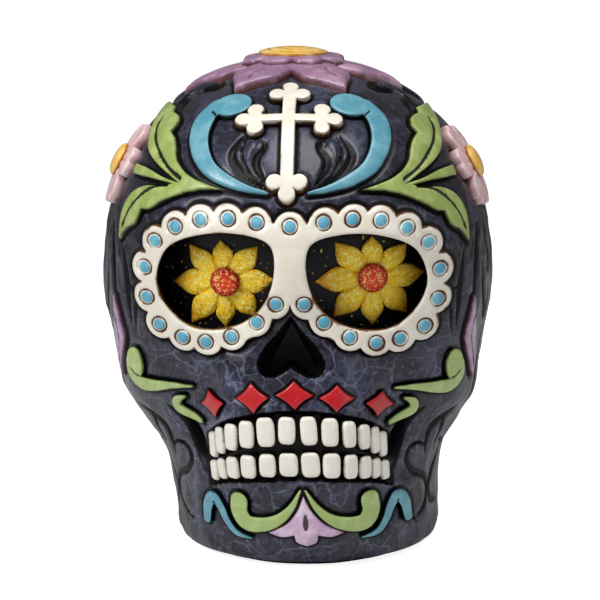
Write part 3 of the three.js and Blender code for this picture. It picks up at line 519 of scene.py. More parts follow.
def cut_out(rings, depth=None, lines=(), field=1.1, rows=(0.15, 0.4, 0.8)):
    """Spots and triangles that fill a drawn shape: its edge, rows just inside it, and an even field. The last
    array says how deep each spot lies."""
    depth = depth or partial(depth_in_any, rings)
    spots, edges = [], []
    total = 0
    for ring in rings:
        kept = np.abs(depth(ring)) < 0.03
        for i in range(len(ring)):
            j = (i + 1) % len(ring)
            if kept[i] and kept[j]:
                edges.append((total + i, total + j))
        spots.append(ring)
        along_ring = np.roll(ring, -1, 0) - np.roll(ring, 1, 0)
        inward = np.stack([-along_ring[:, 1], along_ring[:, 0]], -1)
        inward /= np.maximum(np.linalg.norm(inward, axis=1, keepdims=True), 1e-9)
        inward *= np.where(depth(ring + 0.06 * inward) > depth(ring - 0.06 * inward), 1, -1)[:, None]
        total += len(ring)
        for number, row in enumerate(rows):
            inner = (ring + row * inward)[kept][:: 1 + number // 2]
            inner = inner[np.abs(depth(inner) - row) < 0.3 * row]
            spots.append(inner)
            total += len(inner)
    for line in lines:
        spots.append(line[depth(line) > 0.3])
    low, high = np.vstack(rings).min(0), np.vstack(rings).max(0)
    columns, heights = np.meshgrid(np.arange(low[0], high[0], field), np.arange(low[1], high[1], field * 0.87))
    columns = columns + (np.arange(len(columns)) % 2)[:, None] * field / 2
    even = np.stack([columns.ravel(), heights.ravel()], -1)
    even = even[depth(even) > rows[-1] + 0.3 * field]
    if len(lines):
        even = even[np.min([away(line, even) for line in lines], axis=0) > 0.45]
    spots = np.vstack([*spots, even])
    used = [Vector(spot) for spot in spots.tolist()]
    spots, _, faces, _, _, _ = delaunay_2d_cdt(used, edges, [], 0, 1e-5)
    spots = np.array([tuple(spot) for spot in spots])
    faces = np.array([face for face in faces if len(face) == 3])
    a, b, c = (spots[faces[:, i]] for i in range(3))
    area = (b[:, 0] - a[:, 0]) * (c[:, 1] - a[:, 1]) - (b[:, 1] - a[:, 1]) * (c[:, 0] - a[:, 0])
    faces = np.where((area > 0)[:, None], faces, faces[:, ::-1])
    faces = faces[(depth((a + b + c) / 3) > 0) & (np.abs(area) > 1e-6)]
    kept = np.unique(faces)
    return spots[kept], np.searchsorted(kept, faces), depth(spots[kept])


def piece(name, points, faces, finish, slot, node, **marks):
    """A mesh in the finished skull, with its marks for the paint, and what it stands for."""
    mesh = bpy.data.meshes.new(name)
    mesh.from_pydata(standing(points).tolist(), [], faces)
    for mark, values in marks.items():
        mesh.attributes.new(mark, "FLOAT", "POINT").data.foreach_set("value", np.asarray(values, np.float32))
    mesh.shade_smooth()
    mesh.set_sharp_from_angle(angle=math.radians(38))
    mesh.materials.append(finish)
    made = bpy.data.objects.new(name, mesh)
    bpy.context.scene.collection.objects.link(made)
    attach(made, "root")
    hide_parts(node)
    return made


def relief(name, board, drawing, lifts, finish, slot, node, side=1, under=1.4, **marks):
    """A drawn shape raised off the skin, closed by its side and its back."""
    spots, faces, _ = drawing
    count = len(spots)
    faces = faces if side > 0 else faces[:, ::-1]
    front = board.carried(spots * [side, 1], lifts)
    back = board.carried(spots * [side, 1], np.full(count, -float(under)))
    sides = np.vstack([faces[:, [0, 1]], faces[:, [1, 2]], faces[:, [2, 0]]])
    codes = sides[:, 0] * count + sides[:, 1]
    rim = sides[~np.isin(codes, sides[:, 1] * count + sides[:, 0])]
    walls = np.stack([rim[:, 1], rim[:, 0], rim[:, 0] + count, rim[:, 1] + count], -1)
    # The back of a relief gets the lowest edge mark, so its side runs dark towards the skin: painted shade
    marks = {mark: np.concatenate([values, np.full(count, -1.6) if mark == "edge" else values])
             for mark, values in marks.items()}
    shapes = [*faces.tolist(), *(faces[:, ::-1] + count).tolist(), *walls.tolist()]
    piece(name, np.vstack([front, back]), shapes, finish, slot, node, **marks)


def rounded(depth, proud, edge, foot=0.7):
    """Height of a ledge that rises round from its side over the width of its edge."""
    share = np.clip(depth / edge, 0, 1)
    return proud * (foot + (1 - foot) * np.sqrt(1 - (1 - share) ** 2))


CREAM = aged("cream_antiqued", (234, 226, 210), (243, 237, 225), (96, 58, 32), 0.16, low=-0.6, uneven=3.4)
TURQUOISE = aged("turquoise_brushed", (86, 162, 190), (118, 188, 208), (26, 34, 38), 0.3, 0.5, coat=0.08)

RIM_WIDTH, RIM_PROUD, SCALLOP = 4.4, 2.0, 4.4
STUD_RADIUS, STUD_PROUD, STUD_GROOVE = 1.55, 1.05, 1.95
stud_spots = np.array([
    (8.3, 23), (15.5, 23.7), (22.5, 23.2), (29, 21), (34.4, 16.8), (37.3, 9.7), (36.8, 2), (33.5, -4.7),
    (27.4, -7.4), (21.4, -8.1), (14.8, -6.3), (8.4, -2.3), (3.5, 2.6)])
stud_spots = np.vstack([[[0, 22.1]], stud_spots, stud_spots * [-1, 1]])
rim_rings = [eye_ring(RIM_WIDTH), eye_ring(RIM_WIDTH) * [-1, 1]]
for spot in stud_spots:
    centre = np.array([np.sign(spot[0]) * EYE[0], EYE[1]])
    inward = (centre - spot) / np.linalg.norm(centre - spot)
    rim_rings.append(oval_ring(*(spot + inward), SCALLOP, SCALLOP))
rim_rings.append(straight_sides([(-6, 14), (-4.6, 4), (-2.6, 0.6), (0, 2.6), (2.6, 0.6), (4.6, 4), (6, 14)]))
eye_holes = [eye_ring(), eye_ring() * [-1, 1]]


def rim_depth(spots):
    return np.minimum(depth_in_any(rim_rings, spots), -depth_in_any(eye_holes, spots))


seated(FACE, 1, partial(depth_in_any, rim_rings), 1.0)
stud_rings = [oval_ring(*spot, radius, radius) for spot in stud_spots for radius in (1.5, STUD_GROOVE, 2.4)]
drawing = cut_out([*rim_rings, *eye_holes], rim_depth, stud_rings)
spots, _, inside = drawing
to_stud = np.linalg.norm(spots[:, None] - stud_spots[None], axis=-1).min(1)
lifts = rounded(inside, RIM_PROUD, 0.9) - 0.45 * np.exp(-((to_stud - STUD_GROOVE) / 0.28) ** 2)
edge = np.minimum(inside, np.abs(to_stud - 1.9) * 3 - 0.85)
edge -= 0.8 * rise(to_stud, 3.4, 4.2) * (1 - rise(depth_in_any(rim_rings, spots), 0.3, 1.0))
relief("eye_rim_plate", FACE, drawing, lifts, CREAM, "cream_paint", "eye_rim", edge=edge)

for number, spot in enumerate(stud_spots, 1):
    drawing = cut_out([oval_ring(*spot, STUD_RADIUS, STUD_RADIUS)], field=0.5, rows=(0.12, 0.3, 0.6))
    lifts = RIM_PROUD - 0.5 + rounded(drawing[2], STUD_PROUD, 1.3, 0.2)
    relief(f"rim_stud_{number}", FACE, drawing, lifts, TURQUOISE, "blue_paint", "eye_rim", under=-1.0,
           edge=drawing[2] + 0.2)


# The flowers in the sockets are cast petals and a button centre, brushed with clear lacquer and dipped in fine
# glitter, yellow with orange tips and a red heart.
HAND = {-1: "left", 1: "right"}
PETAL_SIDE = np.array([(0, 1), (0.17, 0.92), (0.43, 0.83), (0.72, 0.74), (0.9, 0.66), (1, 0.56)])
PETAL_DEEP, HEART_DEEP, HEART_RADIUS = 6.9, 5.6, 3.8
# Where each flower's middle is, across and up, and where its eight tips lie from there
EYE_FLOWERS = {
    -1: [(16.8, 6.5), (-0.2, -12.1), (8.8, -11.7), (13.4, -1.1), (9.2, 9), (1.1, 10.7), (-8.5, 9.5), (-12.7, 1),
         (-8, -9)],
    1: [(20.4, 7.6), (-0.1, -12.6), (8.6, -10), (13.3, 0.2), (8.4, 8.2), (-0.3, 10.7), (-9.6, 9.4),
        (-14.8, -0.6), (-9.9, -10)]}


def petals_to(tips, centre):
    """Outline of a flower from where its tips lie, and the spots where its petals part."""
    turns, reach = np.arctan2(tips[:, 1], tips[:, 0]), np.hypot(*tips.T)
    stretched, partings = [], []
    for i, j in zip(range(8), [*range(1, 8), 0]):
        apart = (turns[j] - turns[i]) % (2 * math.pi) / 2
        between = (reach[i] + reach[j]) / 2
        for tip, way in ((i, 1), (j, -1)):
            turn = turns[tip] + way * apart * PETAL_SIDE[:, 0]
            far = (reach[tip] + (between - reach[tip]) * PETAL_SIDE[:, 0]) * PETAL_SIDE[:, 1]
            spots = ray(turn) * far[:, None] + centre
            stretched.append(curve(spots[::way], step=0.4)[:-1])
        partings.append(spots[-1])
    return np.vstack(stretched), partings


def glitter(name, paint, deep, painted_glint):
    """Lacquer full of small flakes, each with a tone and a tilt of its own; some are painted pale as painted
    glints.
    """
    finish = Finish(name, {"Specular IOR Level": 0.3})
    reach = finish.mark("reach")
    flakes = finish.cells(0.42)
    tone, flash = (finish.node("ShaderNodeSeparateColor", None, {0: flakes}, out=out) for out in (0, 1))
    color = finish.mix(finish.rise(reach + (tone - 0.5) * 0.5, 0.62, 1.05), shade(*paint), shade(*deep))
    color = finish.mix(finish.rise(tone, 0.55, 0.9) * 0.35, color, shade(*deep))
    # Pale flakes, fewer toward the tips: painted glints
    color = finish.mix(finish.rise(flash, 0.7, 0.8) * (1 - finish.rise(reach, 0.75, 1.0) * 0.7), color,
                       shade(*painted_glint))
    tilt = finish.vector("SUBTRACT", {0: flakes, 1: (0.5, 0.5, 0.5)})
    tilt = finish.vector("SCALE", {0: tilt, "Scale": 0.55})
    normal = finish.vector("ADD", {0: finish.node("ShaderNodeNewGeometry", out="Normal"), 1: tilt})
    return finish.wear(color, tone * 0.25 + 0.2, finish.vector("NORMALIZE", {0: normal}))


YELLOW_GLITTER = glitter("yellow_glitter", (255, 214, 36), (250, 166, 30), (255, 248, 136))
RED_GLITTER = glitter("red_glitter", (226, 66, 24), (160, 28, 14), (255, 196, 120))
for side, (centre, *tips) in EYE_FLOWERS.items():
    centre, tips, hand = np.array(centre), np.array(tips), HAND[side]
    petal_ring, partings = petals_to(tips, centre)
    seams = [centre + (parting - centre) * np.linspace(0.5, 1, 9)[:, None] for parting in partings]
    veins = [centre + tip * np.linspace(0.35, 0.7, 9)[:, None] for tip in tips]
    drawing = cut_out([petal_ring], lines=seams, field=0.7)
    spots, _, inside = drawing
    reach = np.hypot(*(spots - centre).T)
    lifts = rounded(inside, 1.4, 2.6, 0.3) - PETAL_DEEP - 0.35 * rise(reach, 7, 13)
    for line, deep in [(seam, 0.7) for seam in seams] + [(vein, 0.3) for vein in veins]:
        lifts -= deep * np.exp(-(away(line, spots) / 0.35) ** 2)
    relief(f"eye_petals_{hand}", FACE, drawing, lifts, YELLOW_GLITTER, "yellow_glitter",
           f"eye_flower_petals_{hand}", side, 7.2, reach=reach / 13)
    drawing = cut_out([oval_ring(*centre, HEART_RADIUS, HEART_RADIUS)], field=0.6)
    lifts = rounded(drawing[2], 1.9, 2.2, 0.3) - HEART_DEEP
    relief(f"eye_heart_{hand}", FACE, drawing, lifts, RED_GLITTER, "red_glitter",
           f"eye_flower_centre_{hand}", side, 6.2, reach=1.1 - drawing[2] / HEART_RADIUS)


# The cross with budded ends is a flat relief on the forehead, moulded with the skull. It is painted cream, with
# a brown wash round its edge.
def ornament(name, board, rings, proud, finish, slot, node, side=1, creases=(), edge=0.45, wash=0.85, foot=0.7,
             depth=None, knife=(0.4, 0.35, 0.35)):
    """A painted relief seated in the skin, with creases in its face. The knife that cuts them has a depth, a
    half width, and a half width of the black it leaves."""
    seated(board, side, depth or partial(depth_in_any, rings), wash)
    drawing = cut_out(rings, depth, creases)
    spots, _, mark = drawing
    lifts = rounded(mark, proud, edge, foot)
    for crease in creases:
        apart = away(crease, spots)
        lifts = lifts - knife[0] * np.exp(-(apart / knife[1]) ** 2)
        mark = np.minimum(mark, (apart - knife[2]) * 2)
    relief(name, board, drawing, lifts, finish, slot, node, side, edge=mark)


CROSS_UP, CROSS_TOP, CROSS_FOOT, ARM_REACH, BUD, BUD_REACH = 13.5, 22.8, -6.2, 8.4, 2.15, 3.1
BROW_ASIDE = -1.0
cross_rings = []
for half_wide, low, high in ((1.7, CROSS_FOOT - BUD_REACH, CROSS_TOP + BUD_REACH),
                             (ARM_REACH + BUD_REACH, CROSS_UP - 1.3, CROSS_UP + 1.3)):
    cross_rings.append(straight_sides([(-half_wide, low), (half_wide, low), (half_wide, high),
                                       (-half_wide, high)]))
for across, up in ((0, CROSS_TOP), (0, CROSS_FOOT), (ARM_REACH, CROSS_UP), (-ARM_REACH, CROSS_UP)):
    outward = math.atan2(up - CROSS_UP, across)
    for quarter in (-1, 0, 1):
        bud = ray(outward + quarter * math.pi / 2) * BUD_REACH + [across, up]
        cross_rings.append(oval_ring(*bud, BUD, BUD))
    cross_rings.append(oval_ring(across, up, 2.3, 2.3))
cross_rings = [ring + [BROW_ASIDE, 0] for ring in cross_rings]
ornament("cross_painted", BROW[1], cross_rings, 1.8, CREAM, "cream_paint", "forehead_cross", wash=0.9,
         foot=0.75)


# The scrolls beside the cross are moulded ribbons that swell from a pointed tail to a round head. They are
# brushed blue over black, and a short crease is cut in the head.
def ribbon(points, stroke, across, up, width, height):
    """Outline of a ribbon with a round end, from points that hold a place and a share of its half width."""
    points = np.array(points) * [width, height, stroke] + [across, up, 0]
    middle = curve(points, step=0.5)
    ahead = np.gradient(middle[:, :2], axis=0)
    ahead /= np.linalg.norm(ahead, axis=1, keepdims=True)
    aside = np.stack([ahead[:, 1], -ahead[:, 0]], -1)
    turns = np.linspace(-math.pi / 2, math.pi / 2, 9)[1:-1]
    end = middle[-1, :2] + middle[-1, 2] * ray(turns) @ [ahead[-1], -aside[-1]]
    aside = aside * middle[:, 2:]
    return np.vstack([middle[:, :2] + aside, end, (middle[:, :2] - aside)[::-1]])


def both_sides(name, board, rings, proud, finish, slot, node, creases=(), aside=0.0, **how):
    """An ornament on the right and its mirror image on the left, both moved aside by the same amount."""
    for side, hand in HAND.items():
        moved = [aside * side, 0]
        ornament(f"{name}_{hand}", board[side], [ring + moved for ring in rings], proud, finish, slot,
                 f"{node}_{hand}", side, [crease + moved for crease in creases], **how)


SCROLL_BLUE = aged("blue_brushed", (86, 152, 172), (116, 174, 188), (22, 30, 36), 0.16)
SCROLL_ROOT, SCROLL_SIZE = (4.9, -8.9), (20.8, 33.6)
scroll = ribbon([
    (0, 0, 0.1), (0.27, 0.05, 0.33), (0.53, 0.14, 0.56), (0.73, 0.26, 0.7), (0.84, 0.42, 0.82),
    (0.87, 0.59, 0.93), (0.81, 0.76, 1), (0.66, 0.89, 0.9)], 2.7, *SCROLL_ROOT, *SCROLL_SIZE)
scroll_head = oval_ring(SCROLL_ROOT[0] + 0.48 * SCROLL_SIZE[0], SCROLL_ROOT[1] + 0.87 * SCROLL_SIZE[1], 5, 4.4)
both_sides("forehead_scroll_painted", BROW, [scroll, scroll_head], 1.4, SCROLL_BLUE, "blue_paint",
           "forehead_scroll", [curve([(17.6, 15.6), (18.9, 16.8), (19.9, 18.5)])], 0.7 * BROW_ASIDE, edge=0.8)


# Three leaves in low relief sweep up from the rim to the temple. They are painted green, and their veins are
# cut in the pattern and washed black.
LEAF_GREEN = aged("leaf_green", (152, 170, 90), (176, 192, 118), (24, 22, 10), 0.22)
LEAF = boards(40, 28)
leaves = [stretches(part, -18.2, 3.6, 43, 40.5) for part in (
    [[(0, 0), (0.15, -0.03), (0.27, -0.01), (0.4, 0.05), (0.56, 0.13), (0.7, 0.23), (0.79, 0.35), (0.89, 0.49),
      (1, 0.68)],
     [(1, 0.68), (0.88, 0.63), (0.75, 0.58)],
     [(0.75, 0.58), (0.72, 0.53), (0.66, 0.51), (0.59, 0.47), (0.55, 0.41), (0.56, 0.35)],
     [(0.56, 0.35), (0.5, 0.31), (0.44, 0.25), (0.38, 0.16), (0.3, 0.09), (0.2, 0.04), (0.12, 0.02), (0, 0)]],
    [[(0.26, -0.01), (0.42, 0.02), (0.57, 0.07), (0.75, 0.12)], [(0.75, 0.12), (0.75, 0.05)],
     [(0.75, 0.05), (0.59, 0.02), (0.42, -0.005), (0.26, -0.03)]],
    [[(0.07, 0), (0.24, 0), (0.4, -0.035), (0.57, -0.045), (0.69, -0.09), (0.76, -0.19), (0.76, -0.36)],
     [(0.76, -0.36), (0.67, -0.3), (0.58, -0.27), (0.54, -0.19)],
     [(0.54, -0.19), (0.48, -0.19), (0.36, -0.13), (0.25, -0.075), (0.13, -0.03), (0.07, 0)]])]
leaf_veins = [
    curve([(-6.4, 4.4), (-0.4, 7.4), (5, 11.2), (10.4, 15.6), (14.4, 20.4), (15.6, 23.6)]),
    curve([(-2.7, 2.3), (1.7, 1.7), (5.5, 0), (9.1, -2.6), (11.6, -5.4), (12.9, -8.2)])]


# The temple flowers are six notched petals, painted pale pink, round a yellow button. They are moulded thicker
# than the leaves and lie over their roots.
def flower(petals, half_width, half_height, shares, centre):
    """Outline of a flower whose petals are smooth stretches of turn and reach."""
    lines = []
    for petal in range(petals):
        for part in shares:
            turn, reach = np.array(part).T
            step = ray((petal + turn) / petals * 2 * math.pi - math.pi / 2) * reach[:, None]
            lines.append(curve(step * [half_width, half_height] + centre, step=0.4)[:-1])
    return np.vstack(lines)


def rays(petals, first, reaches, centre, bends=0.0):
    """Lines that run out on a flower, one to a petal, from the share of a petal at which the first lies."""
    turns = [(petal + first) / petals * 2 * math.pi - math.pi / 2 + bends for petal in range(petals)]
    return [ray(turn) * reaches[:, None] + centre for turn in turns]


TEMPLE_PINK = aged("petal_pink", (234, 194, 198), (244, 218, 218), (120, 66, 58), 0.14, low=-1.6)
YELLOW = aged("button_yellow", (240, 190, 84), (248, 212, 130), (160, 78, 24), 0.3)
TEMPLE, TEMPLE_FLOWER, TEMPLE_PROUD = boards(66, 28), (8.6, 7.5), 1.9
temple_ring = flower(6, 11.7, 11.9, [
    [(0, 0.66), (0.15, 0.9), (0.36, 1.0), (0.5, 0.94)],
    [(0.5, 0.94), (0.64, 1.0), (0.85, 0.9), (1, 0.66)]], TEMPLE_FLOWER)
temple_creases = [*rays(6, 0.5, np.arange(5, 8.6, 0.5), TEMPLE_FLOWER),
                  *rays(6, 0, np.arange(4.6, 7.6, 0.5), TEMPLE_FLOWER)]
for side, hand in HAND.items():
    on_skin = TEMPLE[side].carried(temple_ring * [side, 1], np.zeros(len(temple_ring)))
    petals_over = LEAF[side].drawn(on_skin) * [side, 1]

    def leaf_depth(spots):
        return np.minimum(depth_in_any(leaves, spots), 1.5 - depth_in(petals_over, spots))

    ornament(f"leaves_painted_{hand}", LEAF[side], leaves, 1.4, LEAF_GREEN, "green_paint",
             f"temple_leaf_spray_{hand}", side, leaf_veins, 0.5, 0.9, depth=leaf_depth,
             knife=(0.5, 0.45, 0.5))
    drawing = cut_out([oval_ring(*TEMPLE_FLOWER, 4.5, 4.5)], field=0.7)
    lifts = TEMPLE_PROUD + rounded(drawing[2], 1.7, 3.2, 0.25)
    relief(f"temple_button_{hand}", TEMPLE[side], drawing, lifts, YELLOW, "yellow_paint",
           f"temple_flower_centre_{hand}", side, -1.8, edge=drawing[2])
both_sides("temple_petals_painted", TEMPLE, [temple_ring], TEMPLE_PROUD, TEMPLE_PINK, "pink_paint",
           "temple_flower_petals", temple_creases, edge=0.7)


# The crown flower lies flat on the top: six pointed mauve petals, a ring of eight short ones, and a yellow dome
# with a spiral cut in it.
def closed_stack(rings, start, end):
    """Points and faces of a form drawn through rings, closed by a point before the first and after the last."""
    rings = np.array(rings)
    index = np.arange(rings[..., 0].size).reshape(rings.shape[:2])
    after = np.roll(index, -1, 1)
    faces = np.stack([index[:-1], after[:-1], after[1:], index[1:]], -1).reshape(-1, 4).tolist()
    faces += [(b, a, index.size) for a, b in zip(index[0].tolist(), after[0].tolist())]
    faces += [(a, b, index.size + 1) for a, b in zip(index[-1].tolist(), after[-1].tolist())]
    return np.vstack([rings.reshape(-1, 3), [start, end]]), faces


MAUVE = aged("petal_mauve", (149, 113, 143), (182, 143, 167), (96, 54, 56), 0.3, low=-0.7, uneven=1.3)
CROWN_TOP, CROWN_FLOWER = Board(0, 90), (-1.2, 0)
crown_ring = flower(6, 28, 27, [
    [(0, 0.47), (0.17, 0.7), (0.39, 0.87), (0.5, 1.02)],
    [(0.5, 1.02), (0.61, 0.87), (0.83, 0.7), (1, 0.47)]], CROWN_FLOWER)
crown_creases = rays(6, 0.5, np.array([16, 19, 22.5]), CROWN_FLOWER, np.array([0.06, 0, 0.03]))
ornament("crown_petals_painted", CROWN_TOP, [crown_ring], 2.4, MAUVE, "mauve_paint", "crown_outer_petals",
         creases=[curve(crease) for crease in crown_creases], edge=3.0, foot=0.45)
inner_ring = flower(8, 14, 12.5, [
    [(0, 0.78), (0.16, 0.92), (0.5, 1.02)], [(0.5, 1.02), (0.84, 0.92), (1, 0.78)]], CROWN_FLOWER)
inner_creases = rays(8, 0, np.arange(8.5, 11, 0.4), CROWN_FLOWER)
drawing = cut_out([inner_ring], lines=inner_creases)
apart = np.min([away(crease, drawing[0]) for crease in inner_creases], axis=0)
relief("crown_inner_petals_painted", CROWN_TOP, drawing, 2.2 + rounded(drawing[2], 1.8, 2.0, 0.45), MAUVE,
       "mauve_paint", "crown_inner_petals", under=-1.6, edge=np.minimum(drawing[2], apart - 0.1))

DOME_REACH, DOME_FOOT, DOME_EDGE, DOME_TOP, SPIRAL_PITCH = 9.0, 2.6, 4.15, 5.35, 3.2
turns = full_turn(72)
reach = np.linspace(DOME_REACH, DOME_REACH / 22, 22)[:, None] + 0 * turns
to_spiral = np.abs((reach / SPIRAL_PITCH - turns / (2 * math.pi)) % 1 - 0.5) * SPIRAL_PITCH
level = DOME_EDGE + (DOME_TOP - DOME_EDGE) * (1 - (reach / DOME_REACH) ** 2.6)
level -= 0.35 * np.exp(-(to_spiral / 0.35) ** 2) * ((reach > 1.5) & (reach < 8.3))
mark = np.where((reach > 1.4) & (reach < 8.4), to_spiral - 0.3, np.minimum(9.2 - reach, 2))
reach, level = np.vstack([reach[:1], reach]), np.vstack([0 * turns + DOME_FOOT, level])
points, faces = closed_stack(np.dstack([ray(turns) * reach[..., None] + CROWN_FLOWER, CROWN + level]),
                             [*CROWN_FLOWER, CROWN + DOME_FOOT], [*CROWN_FLOWER, CROWN + DOME_TOP])
piece("crown_dome_painted", points, faces, YELLOW, "yellow_paint", "crown_flower_centre",
      edge=[*(0 * turns - 1), *mark.ravel(), -1, 2])


# On each cheek are a green scroll with a round head, a small curl under it, and a lilac spear by the temple.
# They are low relief moulded with the skull, painted, and washed black round their edges.
SCROLL_GREEN = aged("scroll_green", (163, 186, 108), (184, 204, 136), (24, 24, 12), 0.12)
LILAC = aged("spear_lilac", (172, 142, 176), (204, 176, 198), (60, 34, 44), 0.3)
CHEEK = boards(35, 0)
cheek_rings = [
    ribbon([(0, 0, 0.1), (0.32, -0.05, 0.38), (0.62, -0.15, 0.67), (0.85, -0.15, 0.8), (1, 0.12, 0.9),
            (0.98, 0.45, 1)], 2.4, -4.5, -20.6, 21.5, 8),
    oval_ring(-4.5 + 0.9 * 21.5, -20.6 + 0.5 * 8, 3.6, 4)]
both_sides("cheek_scroll_painted", CHEEK, cheek_rings, 1.3, SCROLL_GREEN, "green_paint", "cheek_scroll",
           [curve([(13.6, -19.9), (15.4, -19.6), (17, -18.4)])])
curl_ring = ribbon([(0, 0, 0.2), (0.43, -0.22, 0.8), (0.5, -0.52, 1), (0.03, -0.79, 0.9), (-0.51, -1, 0.5)],
                   1.35, -1.2, -23.6, 7, 6.2)
both_sides("cheek_curl_painted", CHEEK, [curl_ring], 1.2, SCROLL_GREEN, "green_paint", "cheek_curl")
spear_ring = stretches([
    [(0.3, 1), (0.1, 0.75), (0, 0.5), (0.3, 0.3), (1, 0)],
    [(1, 0), (0.95, 0.25), (0.85, 0.5), (0.5, 0.75), (0.3, 1)]], -3, -22, 8, 22.5)
both_sides("spear_painted", TEMPLE_SIDE, [spear_ring], 1.2, LILAC, "lilac_paint", "cheek_spear",
           [curve([(0.6, -5), (0.4, -10), (2.4, -15), (4, -19)])])


# Five red diamonds with hollow sides lie over the teeth. They are moulded with bevelled edges, painted and
# varnished.
RED = aged("diamond_red", (186, 22, 30), (200, 36, 42), (70, 8, 10), 0.1, 0.3)
# Half width and half height of each
DIAMONDS = [(3.1, 3.4), (4.1, 3.7), (4.7, 3.5), (4.3, 3.3), (3.5, 3.2)]
ROW_REACH, ROW_UP, ROW_DROOP, ROW_TURN, ROW_ASIDE, WAIST = 21.2, -20.3, 3.8, 14, 0.6, 0.62


def turned(spots, turn):
    return spots @ [ray(turn), ray(turn + math.pi / 2)]


for number, half_size in enumerate(DIAMONDS):
    share = (number - 2) / 2
    turn = math.radians(-ROW_TURN * math.copysign(1, share) * share**2)
    corners = turned(ray(full_turn(8)) * ([[1], [WAIST]] * 4) * half_size, turn)
    corners += [share * ROW_REACH + ROW_ASIDE, ROW_UP - ROW_DROOP * share**2]
    sides = [[corners[i], corners[i + 1], corners[(i + 2) % 8]] for i in (0, 2, 4, 6)]
    ornament(f"diamond_painted_{number + 1}", FACE, [stretches(sides)], 1.0, RED, "red_paint",
             f"lip_diamond_{number + 1}", edge=0.6, wash=0.7)


# Two arches of teeth, each a rounded block of resin set square in the black mouth. They are painted cream,
# with a brown wash at the edge, and their sides are painted dark between them as painted shade.
IVORY = aged("tooth_ivory", (238, 232, 220), (246, 242, 232), (34, 22, 16), 0.1, 0.22, -0.35)
PITCH, NARROWING, GAP, ARCH_END, TEETH_ASIDE = 5.56, 0.11, 0.85, 30.0, 1.1
# Height of a tooth and what it loses at the arch's ends, the arch's level, and its droop
ARCHES = {"upper": (7.4, 1.2, -29.1, 7.3), "lower": (6.4, 1.6, -37.8, 5.0)}


class Seat:
    """A flat place square to the skin, where a block is set."""

    def __init__(self, angle, height):
        self.start = skin_point(np.array([angle]), np.array([height]))[0]
        self.out = skin_out(np.array([angle]), np.array([height]))[0]
        self.across = np.cross([0, 0, 1], self.out)
        self.across /= np.linalg.norm(self.across)
        self.up = np.cross(self.out, self.across)

    def carried(self, spots, lifts):
        return self.start + spots[:, :1] * self.across + spots[:, 1:] * self.up + lifts[:, None] * self.out


def arch_seat(distance, up):
    angles = np.arange(0, 2, 0.005)
    path = skin_point(angles, np.full(len(angles), DRAWN_FROM + up))
    return math.copysign(np.interp(abs(distance), walked_along(path), angles), distance)


def arch_at(arch, distance):
    """Level of the arch and half height of its teeth, at a distance from the middle of the mouth."""
    tall, loss, middle, droop = ARCHES[arch]
    share = (distance / ARCH_END) ** 2
    return middle - droop * share, (tall - loss * share) / 2


lip = []
for arch, end in (("lower", -1), ("upper", 1)):
    line = []
    for distance in np.linspace(-31, 31, 41):
        up, half_high = arch_at(arch, distance)
        angle = np.array([arch_seat(distance + TEETH_ASIDE, up)])
        across, _, height = skin_point(angle, np.array([DRAWN_FROM + up]))[0]
        line.append((across, height - DRAWN_FROM + end * (half_high + 1)))
    lip += line[::-end]
hollow(FACE, 1, np.array(lip), deep=2.6, wall=0.8)
SQUARENESS = 3.8
block = ray(full_turn(40))
block = np.sign(block) * np.abs(block) ** (2 / SQUARENESS)
tooth_luck = np.random.default_rng(7)
for arch in ARCHES:
    for number in range(12):
        place = number - 5.5
        distance = place * (PITCH - NARROWING * abs(place))
        half_wide = (PITCH - 2 * NARROWING * abs(place) - GAP) / 2
        up, half_high = arch_at(arch, distance)
        slack = tooth_luck.uniform(0.92, 1.04, 3)
        tilt = math.radians(tooth_luck.uniform(-2.5, 2.5))
        drawing = cut_out([turned(block * [half_wide, half_high] * slack[:2], tilt)], field=0.8)
        spots, _, inside = drawing
        lifts = rounded(inside, 0.95 * slack[2], 0.9, 0.1) - 0.12 * (spots[:, 0] / 2.2) ** 2
        seat = Seat(arch_seat(distance + TEETH_ASIDE, up), DRAWN_FROM + up)
        relief(f"{arch}_tooth_painted_{number + 1}", seat, drawing, lifts, IVORY, "cream_paint",
               f"{arch}_tooth_{number + 1}", under=2.6, edge=inside)


# The chin carries a lilac lotus with a dark drop in it, between green scrolls and small blue ones. They are low
# relief moulded with the skull, and painted.
ORCHID = aged("lotus_orchid", (198, 164, 198), (232, 208, 228), (60, 30, 44), 0.3)
CHIN, CHIN_ASIDE = boards(0, 0), 1.5
lotus_half = stretches([
    [(0, 0), (0.2, -0.31), (0.52, -0.56), (1, -0.74)], [(1, -0.74), (0.64, -0.82), (0.31, -0.78)],
    [(0.31, -0.78), (0.26, -0.92), (0, -1)]], 0, -46, 9.7, 13.4)
lotus_ring = np.vstack([lotus_half, [[0, -59.4]], lotus_half[:0:-1] * [-1, 1]])
drop = curve([(0.2, -51), (-0.35, -52.8), (-0.2, -54.6), (0.1, -55), (0.4, -54.4), (0.5, -53)], closed=True)
ornament("lotus_painted", FACE, [lotus_ring + [CHIN_ASIDE, 0]], 1.3, ORCHID, "mauve_paint", "chin_lotus",
         creases=[drop + [CHIN_ASIDE, 0]], edge=1.8, foot=0.4)
green_ring = ribbon([
    (0, 0, 0.1), (0.17, -0.5, 0.4), (0.39, -0.84, 0.64), (0.67, -1, 0.86), (0.9, -0.97, 1), (1, -0.69, 1),
    (0.99, -0.38, 1)], 2.2, 0.6, -44.4, 16, 9.5)
both_sides("chin_green_painted", CHIN, [green_ring], 1.3, SCROLL_GREEN, "green_paint", "chin_green_scroll",
           aside=CHIN_ASIDE)
blue_ring = ribbon([
    (0, 0, 0.13), (0.34, 0.09, 0.6), (0.54, 0.41, 0.73), (0.66, 0.77, 0.87), (0.81, 1, 1), (0.94, 0.77, 1),
    (1, 0.27, 0.73)], 1.3, 13.8, -58, 11.9, 9.1)
both_sides("chin_blue_painted", CHIN, [blue_ring], 1.2, SCROLL_BLUE, "blue_paint", "chin_blue_scroll",
           aside=CHIN_ASIDE)
